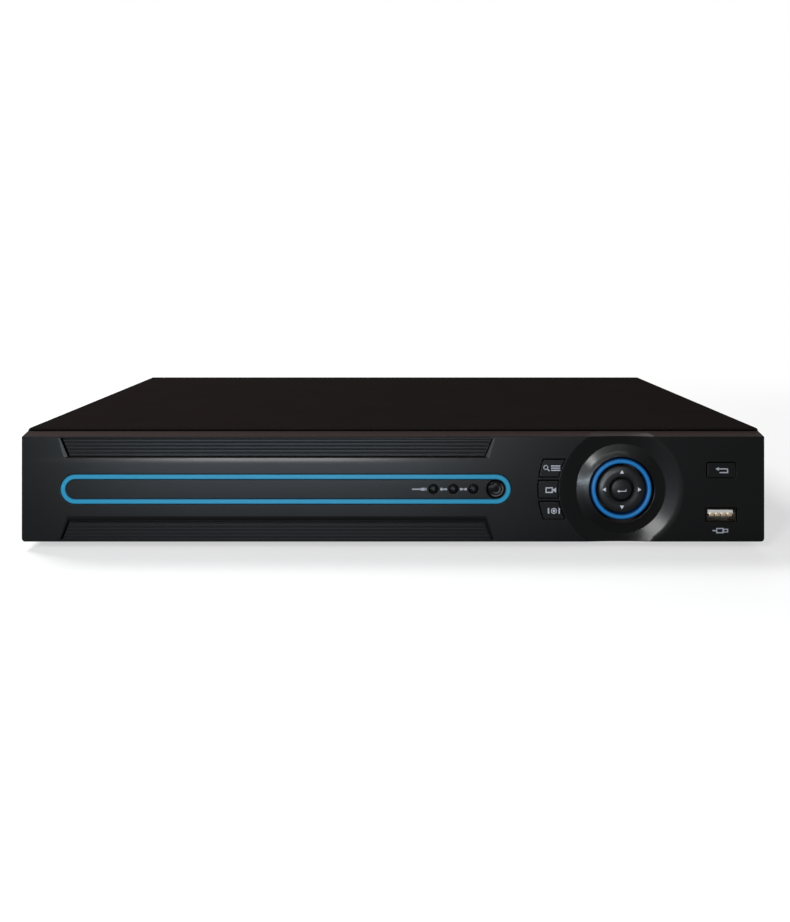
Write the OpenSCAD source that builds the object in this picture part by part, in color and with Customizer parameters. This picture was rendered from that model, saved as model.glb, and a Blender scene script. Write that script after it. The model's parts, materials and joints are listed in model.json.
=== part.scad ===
// Video recorder: bezel with a lit dial and keys, tray, cover, boards, hard drive, fan
// and a rear panel of sockets.
// Millimetres, +Z up, front to -Y, origin on the floor under the middle of the whole box.

/* [Bezel] */
// Width of the front bezel and of the case
bezel_w = 325; // [318:1:345]
// Height of the flat front face
face_h = 46; // [45:0.5:50]
// Thickness of the face wall
face_t = 3; // [2.6:0.1:3.6]
// Thickness of the other bezel walls
bezel_wall = 2; // [1.5:0.1:2.6]
// Depth of the bezel that shows in front of the cover
lip_d = 8; // [6:0.5:10]
// Rise of the sloping top from the face back to the cover
lip_rise = 1.4; // [0.8:0.1:2]
// Depth of the bezel with the part under the cover
bezel_d = 21; // [20:0.5:26]
// Radius of the two lower corners
corner_r = 1.5; // [0.5:0.1:3]
// Height of the bezel's lower edge above the floor
floor_gap = 3.5; // [3:0.1:6]
// How far the bezel hangs below the base tray
skirt = 1; // [0.5:0.1:2]

/* [Ribbed trim] */
// How much shorter each trim recess is than the light strip
trim_short = 7.9; // [5:0.1:30]
// Height of each trim recess
trim_h = 9; // [7:0.5:10]
// How far each slanted end leans in
trim_cant = 3.4; // [1:0.2:5]
// Depth of the recess
trim_d = 2.6; // [2.2:0.1:3]
// Thin edge between the recess and the edge of the face
brow = 0.7; // [0.5:0.1:1.5]
// Open groove between the trim and the recess
trim_groove = 0.7; // [0.3:0.05:1.2]
// Distance of the ribs' crests behind the face
trim_set = 0.5; // [0.2:0.1:1]
// Spacing of the ribs
rib_pitch = 1.5; // [1:0.1:2.5]
// Part of the spacing that a rib's crest takes
rib_crest = 0.6; // [0.4:0.05:0.8]
// Depth of the slots between ribs
rib_d = 0.5; // [0.2:0.1:0.8]
// Rounded rim over the lower recess
rim_w = 2.4; // [1:0.1:4]
// Rounded rim under the upper recess
lip_w = 0.25; // [0.1:0.05:1]
// Depth of both rims
rim_d = 1.2; // [0.4:0.1:1.6]
// Width of the bevel at the slanted ends
end_w = 1.3; // [0.5:0.1:2]
// Depth of that bevel
end_d = 0.5; // [0.2:0.1:1]

/* [Light strip and window] */
// Distance from the light strip's end to the keys
strip_clear = 11.9; // [9:0.1:30]
// Height of the light strip
strip_h = 13.1; // [11:0.1:15]
// Width of its line
strip_line = 2.3; // [1.5:0.1:3]
// Depth of its groove
strip_d = 1.5; // [1:0.1:1.8]
// How far the strip and the trim start from the left edge
left_inset = 16.9; // [12:0.1:20]
// Radius of a status lens
lens_r = 2; // [1.5:0.1:2.5]
// Spacing of the status lenses
lens_pitch = 8.75; // [7:0.05:10]
// Distance from the last status lens to the infrared window
lens_to_window = 9.85; // [8:0.05:12]
// Radius of the infrared window
window_r = 4.1; // [3.2:0.1:4.2]

/* [Dial] */
// Distance of the dial's centre from the right edge
dial_inset = 62.5; // [58:0.1:66]
// Outer radius of the dish round the dial
dish_r = 27.1; // [24:0.1:27.4]
// Depth of the dish
dish_d = 1.6; // [1:0.1:1.8]
// Outer radius of the collar, where the dish is deepest
collar_r = 19.5; // [18.5:0.1:21]
// Radius of the collar's crest
crest_r = 14.7; // [14.2:0.1:15.5]
// How far the crest stands in front of the face
crest_proud = 0.6; // [0.2:0.1:1]
// Outer radius of the ring light
ring_r = 13.4; // [13:0.1:13.8]
// Inner radius of the ring light
ring_in_r = 11.1; // [11:0.1:11.6]
// Outer radius of the rocker ring
rocker_r = 10.3; // [9.6:0.1:10.3]
// Radius of the hole through the rocker ring
rocker_hole_r = 5.2; // [5.1:0.05:5.4]
// How far the rocker ring's crown stands out
rocker_proud = 0.9; // [0.5:0.1:1.2]
// Radius of the enter button
enter_r = 4.55; // [4:0.05:4.6]
// How far the enter button's dome stands out
enter_proud = 1; // [0.6:0.1:1.4]
// Distance of the rocker's tilt axes behind the face
pivot_d = 6.2; // [6:0.1:6.6]
// Radius of the tilt pins
pivot_r = 0.9; // [0.7:0.05:1]
// Radial clearance of the tilt pins
pivot_gap = 0.08; // [0.05:0.01:0.1]

/* [Keys] */
// Inner radius of the keys about the dial's centre
key_in_r = 28; // [27.8:0.1:29]
// Outer radius of the keys beside the dial
key_out_r = 36.5; // [35:0.1:38]
// Height of a key beside the dial
key_h = 7.6; // [6.5:0.1:7.8]
// Spacing of the keys beside the dial
key_pitch = 9.2; // [9.1:0.1:9.6]
// Width of the back key
back_key_w = 12.4; // [10:0.2:14]
// Height of the back key
back_key_h = 6.4; // [5:0.1:7.5]
// Height of the back key above the dial's centre
back_key_up = 8.4; // [7:0.1:10]
// Back key and data socket, distance from the right edge
right_inset = 18.9; // [18:0.1:20]
// How far a key stands in front of the face
key_proud = 0.4; // [0.2:0.1:0.8]
// Press travel of the keys and of the enter button
key_travel = 0.8; // [0.5:0.1:1]
// Gap round a key in its opening
key_gap = 0.25; // [0.2:0.05:0.4]
// How far a key's flange reaches past its face
key_flange = 0.6; // [0.5:0.05:0.7]
// Thickness of a key's flange
flange_t = 1; // [0.8:0.1:1.2]
// Free play between a flange and the wall in front of it
key_play = 0.2; // [0.15:0.05:0.3]
// Radius of a key's stem
stem_r = 1.5; // [1.2:0.1:1.7]

/* [Data sockets] */
// Width of a data socket's shell
data_w = 13.1; // [13:0.1:13.4]
// Height of a data socket's shell
data_h = 5.7; // [5.6:0.1:6]
// Length of a data socket's shell
data_len = 14; // [13:0.5:16]
// Thickness of the shells of the sockets
shell_t = 0.3; // [0.25:0.05:0.45]
// Distance of the front data socket below the dial's centre
data_down = 11.3; // [10.5:0.1:12]
// How far the front shell sits behind the face
data_set = 0.4; // [0.2:0.1:1]

/* [Sheet steel] */
// Depth of the case from the face to the back of the cover
case_d = 243; // [240:1:280]
// Thickness of the sheet steel
sheet_t = 1; // [0.8:0.1:1.2]
// Gap between sheet-steel pieces, and to the bezel
sheet_gap = 0.2; // [0.1:0.05:0.3]
// Height of the cover above the bezel's sloping top
cover_step = 1.45; // [1.3:0.05:2]
// Outer radius of the cover's bends
bend_r = 1.6; // [1.3:0.1:2.5]
// Height of the tray's side flanges
flange_h = 14; // [12:1:18]
// Height of the cover's lip behind the rear panel
rear_lip_h = 6.5; // [6:0.1:7]
// Depth of the rear panel's flanges
rear_flange_d = 7; // [5:0.5:9]
// Width of a side vent
vent_w = 2.6; // [2:0.1:3.5]
// Height of a side vent
vent_h = 16; // [10:0.5:20]
// Spacing of the side vents
vent_pitch = 6; // [5:0.5:8]
// Number of side vents on each side
vent_count = 14; // [8:1:16]
// Radius of a foot where it meets the tray
foot_r = 9; // [7:0.5:11]
// Distance of the feet from the sides of the case
foot_side = 26; // [20:1:34]
// Distance of the feet from the tray's ends
foot_end = 22; // [18:1:30]

/* [Screws] */
// Radius of an inner screw's shank
screw_r = 1.4; // [1.2:0.05:1.45]
// Length of an inner screw's shank
screw_len = 7; // [6.6:0.1:7.2]
// Radius of an inner screw's head
head_r = 2.7; // [2.4:0.1:2.9]
// Height of an inner screw's head
head_h = 1.7; // [1.4:0.1:2]
// Radial clearance of a screw where it bites
bite_gap = 0.1; // [0.05:0.01:0.15]
// Radial clearance of a screw where it holds down
hold_gap = 0.3; // [0.2:0.05:0.5]

/* [Boards] */
// Thickness of the circuit boards
board_t = 1.6; // [1.2:0.1:2]
// Distance from the power switch to the main board
switch_clear = 5; // [2:0.5:12]
// Distance from the drive to the main board
drive_clear = 8.2; // [4:0.1:16]
// Height of the standoffs under the main board
standoff_h = 6; // [5.7:0.1:7]
// Width across a standoff's flats
standoff_flats = 5.5; // [5:0.1:6.5]
// Side of the processor
chip_w = 27; // [23:1:31]
// Height of the processor
chip_h = 2.2; // [1.6:0.1:3]
// Side of the heat sink
sink_w = 40; // [34:1:44]
// Height of the heat sink
sink_h = 14; // [10:0.5:18]
// Number of the heat sink's fins
fin_count = 10; // [7:1:12]
// Radius of the clock cell
cell_r = 10; // [8:0.5:12]
// Thickness of the clock cell
cell_h = 3.2; // [2.5:0.1:4]

/* [Hard drive] */
// Length of the drive, along the width of the case
drive_len = 147; // [145:0.5:148]
// Width of the drive, along the depth of the case
drive_w = 101.6; // [101:0.2:102]
// Height of the drive
drive_h = 26.1; // [24:0.1:27]
// Height of the bosses that carry the drive
drive_lift = 3; // [2:0.1:3.4]
// Distance from the platter's edge to the drive's sides
platter_clear = 3.3; // [2.8:0.1:5]
// Thickness of the drive's lid
lid_t = 1.2; // [0.8:0.1:1.6]

/* [Fan] */
// Side of the fan's frame
fan_w = 40; // [40:1:42]
// Depth of the fan's frame
fan_t = 10; // [10:0.5:12]
// Spacing of the fan's screws
fan_hole_pitch = 32; // [31.5:0.1:32.5]
// Radius of the opening in the fan's frame
fan_bore_r = 19; // [18:0.1:19.2]
// Radius of the rotor's hub
hub_r = 10; // [8:0.5:11]
// Number of blades
blade_count = 7; // [5:1:9]
// Radius of the rotor's shaft
shaft_r = 1; // [0.8:0.1:1.3]
// Radial clearance of the shaft in its bush
shaft_gap = 0.06; // [0.03:0.01:0.1]
// Clearance between the blades and the frame
blade_gap = 0.7; // [0.5:0.1:1]

/* [Rear sockets] */
// Clearance round a socket in the rear panel
cut_gap = 0.35; // [0.2:0.05:0.5]
// Columns of video sockets
video_cols = 4; // [2:1:4]
// Spacing of the video sockets across the panel
video_pitch_x = 18; // [16:0.5:18.5]
// Spacing of the video sockets up the panel
video_pitch_z = 17.4; // [15.5:0.1:17.6]
// Outer radius of a video socket's barrel
video_r = 4.83; // [4.6:0.01:5]
// Length of a video socket's barrel behind its nut
video_len = 11; // [9:0.5:13]
// Spacing of the audio sockets
audio_pitch = 14; // [12:0.5:14.5]
// Outer radius of an audio socket's barrel
audio_r = 4.15; // [4:0.05:4.4]
// Length of an audio socket's barrel behind the panel
audio_len = 9; // [7:0.5:10]
// Width of the monitor socket's D-shaped shell
monitor_w = 17; // [16.4:0.1:17.6]
// Height of the monitor socket's D-shaped shell
monitor_h = 8.6; // [8:0.1:9]
// Spacing of the jack posts beside the monitor socket
post_pitch = 25; // [24.5:0.1:25.5]
// Radius of the thread in a jack post
post_bore_r = 1.3; // [1.1:0.05:1.5]
// Width of the network jack
net_w = 16; // [15.5:0.1:17]
// Height of the network jack
net_h = 13.5; // [13:0.1:15]
// Radius of the power inlet's bore
inlet_r = 3.1; // [2.9:0.05:3.3]
// Height of the power switch's frame
switch_h = 21; // [20:0.5:23]
// Width of the power switch's frame
switch_w = 15; // [14:0.5:16]
// Tilt of the power rocker at rest
rocker_rest = 10; // [8:1:12]

/* [Hidden] */
NODES = ["base_tray", "rear_panel", "top_cover", "front_bezel", "rubber_feet", "foot_screws",
         "cover_screws", "inner_screws", "upper_grille", "lower_grille", "light_strip", "ring_light",
         "status_lenses",
         "ir_window", "upper_key", "middle_key", "lower_key", "back_key", "enter_button", "rocker_ring",
         "rocker_gimbal", "front_board", "push_switches", "status_lamps", "ir_receiver", "front_data_shell",
         "front_data_tongue", "ribbon_cable", "main_board", "board_standoffs", "processor", "heat_sink",
         "board_chips", "capacitors", "cell_holder", "clock_cell", "video_housing", "video_barrels",
         "rear_contacts", "audio_housing", "audio_barrels", "monitor_shell", "monitor_insert", "jack_posts",
         "network_jack", "rear_data_shell", "rear_data_tongue", "terminal_block", "power_inlet",
         "switch_housing", "power_rocker", "fan_frame", "fan_rotor", "fan_screws", "drive_casting",
         "drive_lid", "drive_board",
         "drive_platter", "drive_actuator", "drive_leads"];
node = "all";
$fn = 64;

// How far a cut runs past the face that it opens
over = 1;
// How far a boss or a rib is rooted in its wall
root = 0.4;

// Levels and half widths of the case
half_w = bezel_w / 2;
base_z = floor_gap + skirt;
base_top = base_z + sheet_t;
face_top = floor_gap + face_h;
lip_top = face_top + lip_rise;
cover_top = lip_top + cover_step;
cover_in_top = cover_top - sheet_t;
cover_in_x = half_w - sheet_t;
mid_z = floor_gap + face_h / 2;
tray_x = cover_in_x - sheet_gap;
tray_in_x = tray_x - sheet_t;
spigot_top = min(lip_top, cover_in_top) - sheet_gap;
cav_x = tray_x - bezel_wall;
cav_bot = base_z + bezel_wall;
cav_top = spigot_top - bezel_wall;
tray_y0 = bezel_d + sheet_gap;
wall_back = tray_y0 + sheet_t;
rear_out = case_d - sheet_t - sheet_gap;
rear_in = rear_out - sheet_t;
panel_top = cover_in_top - sheet_gap;

// Places on the face
dial_x = half_w - dial_inset;
strip_x0 = left_inset - half_w;
strip_len = dial_x - key_out_r - strip_clear - strip_x0;
strip_x = strip_x0 + strip_len / 2;
window_x = strip_x0 + strip_len - strip_h / 2;
lens_xs = [for (i = [0:2]) window_x - lens_to_window - i * lens_pitch];
trim_len = strip_len - trim_short;
trim_x1 = strip_x0 + trim_len;
trim_lean = trim_cant / trim_h;
trim_back = trim_d + bezel_wall;
upper_z = face_top - trim_h;
lower_z = floor_gap + trim_h;
right_x = half_w - right_inset;
back_key_z = mid_z + back_key_up;
data_z = mid_z - data_down;
key_row_x = dial_x - (key_in_r + key_out_r) / 2;

// Dial pieces behind the face
ring_bore_gap = 0.2;
ring_bore_r = ring_r + ring_bore_gap;
crest_w = 0.4;
crest_bevel_d = 0.8;
ring_flange_r = ring_r + 1.4;
ring_flange_t = 0.8;
well_gap = 0.3;
well_r = ring_flange_r + well_gap;
well_wall = 1.8;
well_out_r = well_r + well_wall;
gimbal_in_r = ring_in_r + 0.4;
gimbal_out_r = ring_r - 0.2;
gimbal_t = 2.2;
well_end = pivot_d + pivot_r + well_wall;
rocker_post_r = 0.9;
rocker_post_at = 6.8;
rocker_back = 2.4;
skirt_in_r = 8.3;
skirt_out_r = 9.6;
rocker_play = 0.45;

// Front board and what stands on it
board_y = data_set + data_len;
board_back = board_y + board_t;
board_side = 10;
board_x0 = lens_xs[2] - board_side;
board_past = 0.3;
board_x1 = right_x + data_w / 2 + board_past;
board_edge = 1;
board_z0 = cav_bot + board_edge;
board_z1 = cav_top - board_edge;
boss_r = 3;
boss_in = 4.5;
boss_right_x = (dial_x + dish_r + right_x - back_key_w / 2) / 2;
board_bosses = [[board_x0 + boss_in, board_z0 + boss_in], [board_x0 + boss_in, board_z1 - boss_in],
                [boss_right_x, board_z0 + boss_in], [boss_right_x, board_z1 - boss_in]];
post_r = 3.4;
bezel_posts = [[-cav_x + boss_in, mid_z], [strip_x, mid_z], [cav_x - boss_in, mid_z]];
switch_body_h = 3.6;
switch_wide = 6;
switch_small = 4.4;
plunger_r = 1.2;
plunger_y = board_y - switch_body_h - 1.3;
stem_end = plunger_y - key_travel - 0.1;

// Fan, switch, drive and main board places
side_gap = 6;
fan_side = 12;
fan_x = -tray_in_x + fan_w / 2 + fan_side;
fan_z = base_top + sheet_t + sheet_gap + fan_w / 2;
fan_y0 = rear_in - fan_t;
fan_holes = [for (sx = [-1, 1], sz = [-1, 1])
             [fan_x + sx * fan_hole_pitch / 2, fan_z + sz * fan_hole_pitch / 2]];
fan_clear = 6.6;
switch_x = fan_x + fan_w / 2 + fan_clear + switch_w / 2;
switch_up = 2;
switch_z = mid_z + switch_up;
switch_pin_d = 2;
switch_y = rear_out - switch_pin_d;
drive_front = 8;
drive_x0 = -tray_in_x + side_gap;
drive_x1 = drive_x0 + drive_len;
drive_y0 = wall_back + drive_front;
drive_y = drive_y0 + drive_w / 2;
drive_z = base_top + drive_lift;
drive_top = drive_z + drive_h - lid_t;
drive_boss_r = 5;
drive_hole_in = 3.175;
drive_hole_first = 41.28;
drive_hole_step = 44.45;
drive_holes = [for (i = [0:1], s = [-1, 1])
               [drive_x1 - drive_hole_first - i * drive_hole_step,
                drive_y + s * (drive_w / 2 - drive_hole_in)]];
plug_len = 13;
plug_w = 7;
plug_rim = 1;
lead_bend = 12;
lead_first = 2;
lead_step = 27;
function lead_x(step) = drive_x1 + plug_len + lead_bend + step;
main_z = base_top + standoff_h;
main_top = main_z + board_t;
main_x0 = switch_x + switch_w / 2 + switch_clear;
main_x1 = tray_in_x - side_gap;
main_w = main_x1 - main_x0;
main_back = 0.8;
main_y0 = drive_y0 + drive_w + drive_clear;
main_y1 = rear_in - main_back;
socket_d = 20;
standoff_in = 6;
standoff_xs = [main_x0 + standoff_in, lead_x((lead_first + lead_step) / 2), main_x1 - standoff_in];
standoff_ys = [main_y0 + standoff_in, main_y1 - socket_d - standoff_in];
foot_xs = [-half_w + foot_side, half_w - foot_side];
foot_ys = [tray_y0 + foot_end, rear_in - foot_end];
foot_hole_r = 1.6;

// Rear sockets in a row from the right, on the main board
video_half = 8.4;
audio_half = 7;
monitor_flange_w = 31;
term_w = 10.2;
inlet_body_w = 9;
row_in = 3;
row_ws = [(video_cols - 1) * video_pitch_x + 2 * video_half, audio_pitch + 2 * audio_half,
          monitor_flange_w, net_w, data_w, term_w, inlet_body_w];
row_last = len(row_ws) - 1;
function row_sum(n) = n < 0 ? 0 : row_ws[n] + row_sum(n - 1);
row_gap = (main_w - 2 * row_in - row_sum(row_last)) / row_last;
function row_x(i) = main_x1 - row_in - row_sum(i) + row_ws[i] / 2 - i * row_gap;
video_x0 = row_x(0) + (video_cols - 1) * video_pitch_x / 2;
video_up = 6.5;
video_z0 = main_top + video_up;
video_nut_t = 2;
video_nut_flats = 13;
video_wall = 0.8;
video_root_r = 5.6;
video_dielectric_r = 2.2;
video_xs = [for (i = [0:video_cols - 1]) video_x0 - i * video_pitch_x];
video_zs = [video_z0, video_z0 + video_pitch_z];
video_end = rear_out + video_nut_t + video_len;
audio_x0 = row_x(1) + audio_pitch / 2;
audio_xs = [audio_x0, audio_x0 - audio_pitch];
audio_up = 6;
audio_zs = [main_top + audio_up, main_top + audio_up + audio_pitch];
audio_wall = 0.7;
monitor_x = row_x(2);
monitor_up = 6.6;
monitor_z = main_top + monitor_up;
net_x = row_x(3);
rear_data_x = row_x(4);
rear_data_z = main_top + data_h / 2;
rear_data_proud = 0.8;
rear_data_end = rear_out + rear_data_proud;
term_x = row_x(5);
inlet_x = row_x(6);
inlet_up = 6.2;
inlet_z = main_top + inlet_up;
housing_gap = 0.2;
housing_y1 = rear_in - housing_gap;

// Whole box, from the enter button to the video sockets
front_most = max(enter_proud, rocker_proud, crest_proud, key_proud);
mid_y = (video_end - front_most) / 2;

// Moves the case, drawn with its face at y = 0
module in_place() {
    translate([0, -mid_y, 0]) children();
}

// Box between two corners
module box(x0, x1, y0, y1, z0, z1) {
    translate([x0, y0, z0]) cube([x1 - x0, y1 - y0, z1 - z0]);
}

// Outline in X and Z, extruded from y0 backwards
module standing(y0, t) {
    translate([0, y0 + t, 0]) rotate([90, 0, 0]) linear_extrude(t) children();
}

// Outline in Y and Z, extruded along X
module running(x0, len) {
    translate([x0, 0, 0]) rotate([90, 0, 90]) linear_extrude(len) children();
}

// Profile of radius and depth, turned about an axis along Y
module turned(x, z) {
    translate([x, 0, z]) rotate([-90, 0, 0]) rotate_extrude() children();
}

// Round bars along each axis
module bar_y(x, z, r, y0, y1) {
    translate([x, y0, z]) rotate([-90, 0, 0]) cylinder(r = r, h = y1 - y0);
}
module bar_x(y, z, r, x0, x1) {
    translate([x0, y, z]) rotate([0, 90, 0]) cylinder(r = r, h = x1 - x0);
}
module bar_z(x, y, r, z0, z1) {
    translate([x, y, z0]) cylinder(r = r, h = z1 - z0);
}

// Flat outlines
module rounded(w, h, r) {
    square([w - 2 * r, h], center = true);
    square([w, h - 2 * r], center = true);
    for (sx = [-1, 1], sy = [-1, 1]) translate([sx * (w / 2 - r), sy * (h / 2 - r)]) circle(r);
}
module stadium(w, h) {
    square([w - h, h], center = true);
    for (s = [-1, 1]) translate([s * (w - h) / 2, 0]) circle(h / 2);
}
function arc(cx, cy, rx, ry, a0, a1, steps) =
    [for (i = [0:steps]) let (a = a0 + (a1 - a0) * i / steps) [cx + rx * cos(a), cy + ry * sin(a)]];

// Pan head with a cross recess, its shank down -Z from z = 0
slot_w = 0.7;
slot_share = 0.6;
module pan_screw(shank_r, shank_len, pan_r, pan_h) {
    difference() {
        union() {
            cylinder(r = pan_r, h = pan_h);
            translate([0, 0, -shank_len]) cylinder(r = shank_r, h = shank_len + root);
        }
        translate([0, 0, pan_h / 2]) cross_recess(pan_r, pan_h);
    }
}
module cross_recess(pan_r, depth) {
    reach = pan_r * slot_share;
    for (a = [0, 90]) rotate([0, 0, a]) translate([-reach, -slot_w / 2, 0]) cube([2 * reach, slot_w, depth]);
}

// Base tray: floor, flanges, front wall and drive bosses
base_vent_len = 34;
base_vent_w = 3;
base_vent_pitch = 9;
base_vents = 10;
base_vent_clear = 20;
base_vent_x = drive_x1 + base_vent_clear;
window_gap = 2;
cover_screw_r = 1.3;
cover_head_r = 2.6;
cover_screw_len = 6;
cover_screw_down = 5;
cover_screw_z = base_top + flange_h - cover_screw_down;
cover_screw_in = 30;
cover_screw_ys = [tray_y0 + cover_screw_in, rear_in - cover_screw_in];
lip_screw_z = cover_top - rear_lip_h / 2 - sheet_t / 2;
lip_screw_share = 0.6;
lip_screw_x = half_w * lip_screw_share;
lip_screw_xs = [-lip_screw_x, 0, lip_screw_x];
module base_tray() {
    color("#3a3d40") difference() {
        union() {
            box(-tray_x, tray_x, tray_y0, rear_in, base_z, base_top);
            for (x = [-tray_x, tray_in_x]) {
                box(x, x + sheet_t, tray_y0, rear_in - sheet_gap, base_z, base_top + flange_h);
            }
            box(-tray_x, tray_x, tray_y0, wall_back, base_z, cav_top);
            for (p = drive_holes) bar_z(p[0], p[1], drive_boss_r, base_z, drive_z);
        }
        for (p = drive_holes) bar_z(p[0], p[1], screw_r + hold_gap, base_z - over, drive_z + over);
        for (x = foot_xs, y = foot_ys) bar_z(x, y, foot_hole_r, base_z - over, base_top + over);
        for (x = standoff_xs, y = standoff_ys) {
            bar_z(x, y, standoff_flats / 2 - root + bite_gap, base_z - over, base_top + over);
        }
        for (p = bezel_posts) bar_y(p[0], p[1], screw_r + hold_gap, tray_y0 - over, wall_back + over);
        for (y = cover_screw_ys) {
            bar_x(y, cover_screw_z, cover_screw_r + bite_gap, -tray_x - over, tray_x + over);
        }
        standing(tray_y0 - over, sheet_t + 2 * over) translate([cable_x, ribbon_z]) {
            rounded(header_w + 2 * window_gap, header_h + 2 * window_gap, window_gap);
        }
        for (i = [0:base_vents - 1]) {
            translate([base_vent_x + i * base_vent_pitch, drive_y, base_z - over]) rotate([0, 0, 90]) {
                linear_extrude(sheet_t + 2 * over) stadium(base_vent_len, base_vent_w);
            }
        }
    }
}

// Rear panel: folded plate with a cut for each socket
grille_hole_r = 1.7;
grille_step = 4.6;
module rear_panel() {
    color("#34373a") difference() {
        union() {
            box(-tray_x, tray_x, rear_in, rear_out, base_z, panel_top);
            box(-tray_in_x + sheet_gap, tray_in_x - sheet_gap, rear_in - rear_flange_d, rear_in, base_top,
                base_top + sheet_t);
            box(-tray_in_x + sheet_gap, tray_in_x - sheet_gap, rear_in - rear_flange_d, rear_in,
                panel_top - sheet_t, panel_top);
        }
        standing(rear_in - over, sheet_t + 2 * over) rear_cuts();
    }
}
module rear_cuts() {
    for (x = video_xs, z = video_zs) translate([x, z]) circle(video_root_r + cut_gap);
    for (x = audio_xs, z = audio_zs) translate([x, z]) circle(audio_r + cut_gap);
    translate([monitor_x, monitor_z]) d_outline(cut_gap);
    for (s = [-1, 1]) translate([monitor_x + s * post_pitch / 2, monitor_z]) circle(post_stud_r + cut_gap);
    translate([net_x, main_top + net_h / 2]) loose_square(net_w, net_h);
    translate([rear_data_x, rear_data_z]) loose_square(data_w, data_h);
    translate([term_x, main_top + term_h / 2]) loose_square(term_w, term_h);
    translate([inlet_x, inlet_z]) circle(inlet_snout_r + cut_gap);
    translate([switch_x, switch_z]) loose_square(switch_in_w, switch_in_h);
    translate([fan_x, fan_z]) fan_grille();
    for (p = fan_holes) translate(p) circle(screw_r + hold_gap);
    for (x = lip_screw_xs) translate([x, lip_screw_z]) circle(cover_screw_r + bite_gap);
}
// Square opening with the clearance all round
module loose_square(w, h) {
    square([w + 2 * cut_gap, h + 2 * cut_gap], center = true);
}
// Round holes in rings within the fan's opening
module fan_grille() {
    circle(grille_hole_r);
    for (ring = [1:floor((fan_bore_r - grille_hole_r - over) / grille_step)], i = [0:6 * ring - 1]) {
        rotate(i * 60 / ring) translate([ring * grille_step, 0]) circle(grille_hole_r);
    }
}

// Cover: folded sheet with a lip behind the rear panel
cover_y0 = lip_d + sheet_gap;
vent_y = (tray_y0 + rear_in) / 2;
vent_up = 6;
vent_z = mid_z + vent_up;
module cover_outline(inset, z0) {
    x = half_w - inset;
    r = bend_r - inset;
    top = cover_top - inset;
    translate([-x, z0]) square([2 * x, top - r - z0]);
    translate([-x + r, z0]) square([2 * (x - r), top - z0]);
    for (s = [-1, 1]) translate([s * (x - r), top - r]) circle(r);
}
module top_cover() {
    color("#1e1a19") difference() {
        union() {
            difference() {
                standing(cover_y0, case_d - cover_y0) cover_outline(0, base_z);
                standing(cover_y0 - over, case_d - cover_y0 + 2 * over) {
                    cover_outline(sheet_t, base_z - over);
                }
            }
            standing(case_d - sheet_t, sheet_t) cover_outline(0, cover_top - rear_lip_h);
        }
        running(-half_w - over, bezel_w + 2 * over) for (i = [0:vent_count - 1]) {
            translate([vent_y + (i - (vent_count - 1) / 2) * vent_pitch, vent_z]) {
                rotate(90) stadium(vent_h, vent_w);
            }
        }
        for (y = cover_screw_ys, s = [-1, 1]) side_screw_place(y, s) countersunk(hold_gap / 2, 0);
        for (x = lip_screw_xs) lip_screw_place(x) countersunk(hold_gap / 2, 0);
    }
}
// Countersunk screw with its head at z = 0
module countersunk(gap, shank_len) {
    translate([0, 0, -sheet_t]) {
        cylinder(r1 = cover_screw_r + gap, r2 = cover_head_r + gap, h = sheet_t);
        if (shank_len > 0) translate([0, 0, -shank_len]) cylinder(r = cover_screw_r, h = shank_len);
    }
}
module side_screw_place(y, s) {
    translate([s * half_w, y, cover_screw_z]) rotate([0, s * 90, 0]) children();
}
module lip_screw_place(x) {
    translate([x, case_d, lip_screw_z]) rotate([-90, 0, 0]) children();
}
module cover_screws() {
    color("#26282a") {
        for (y = cover_screw_ys, s = [-1, 1]) side_screw_place(y, s) slotted_countersunk();
        for (x = lip_screw_xs) lip_screw_place(x) slotted_countersunk();
    }
}
module slotted_countersunk() {
    difference() {
        countersunk(0, cover_screw_len);
        translate([0, 0, -sheet_t / 2]) cross_recess(cover_head_r, sheet_t);
    }
}

// Rubber feet and their screws
foot_taper = 1;
foot_cup_r = 3.6;
foot_web = 1.4;
module rubber_feet() {
    color("#141414") for (x = foot_xs, y = foot_ys) translate([x, y, 0]) rotate_extrude() {
        polygon([[foot_cup_r, 0], [foot_r - foot_taper, 0], [foot_r, base_z],
                 [foot_hole_r + bite_gap, base_z], [foot_hole_r + bite_gap, base_z - foot_web],
                 [foot_cup_r, base_z - foot_web]]);
    }
}
foot_screw_len = foot_web + sheet_t + 2;
module foot_screws() {
    color("#8d9093") for (x = foot_xs, y = foot_ys) translate([x, y, base_z - foot_web]) {
        rotate([180, 0, 0]) pan_screw(foot_hole_r - bite_gap, foot_screw_len, head_r, head_h);
    }
}

// Inner screws: main board, front board, bezel and drive
module inner_screws() {
    color("#9a9da0") {
        for (x = standoff_xs, y = standoff_ys) translate([x, y, main_top]) inner_screw();
        for (p = board_bosses) translate([p[0], board_back, p[1]]) rotate([-90, 0, 0]) inner_screw();
        for (p = bezel_posts) translate([p[0], wall_back, p[1]]) rotate([-90, 0, 0]) inner_screw();
        for (p = drive_holes) translate([p[0], p[1], base_z]) rotate([180, 0, 0]) inner_screw();
    }
}
module inner_screw() {
    pan_screw(screw_r, screw_len, head_r, head_h);
}

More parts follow.
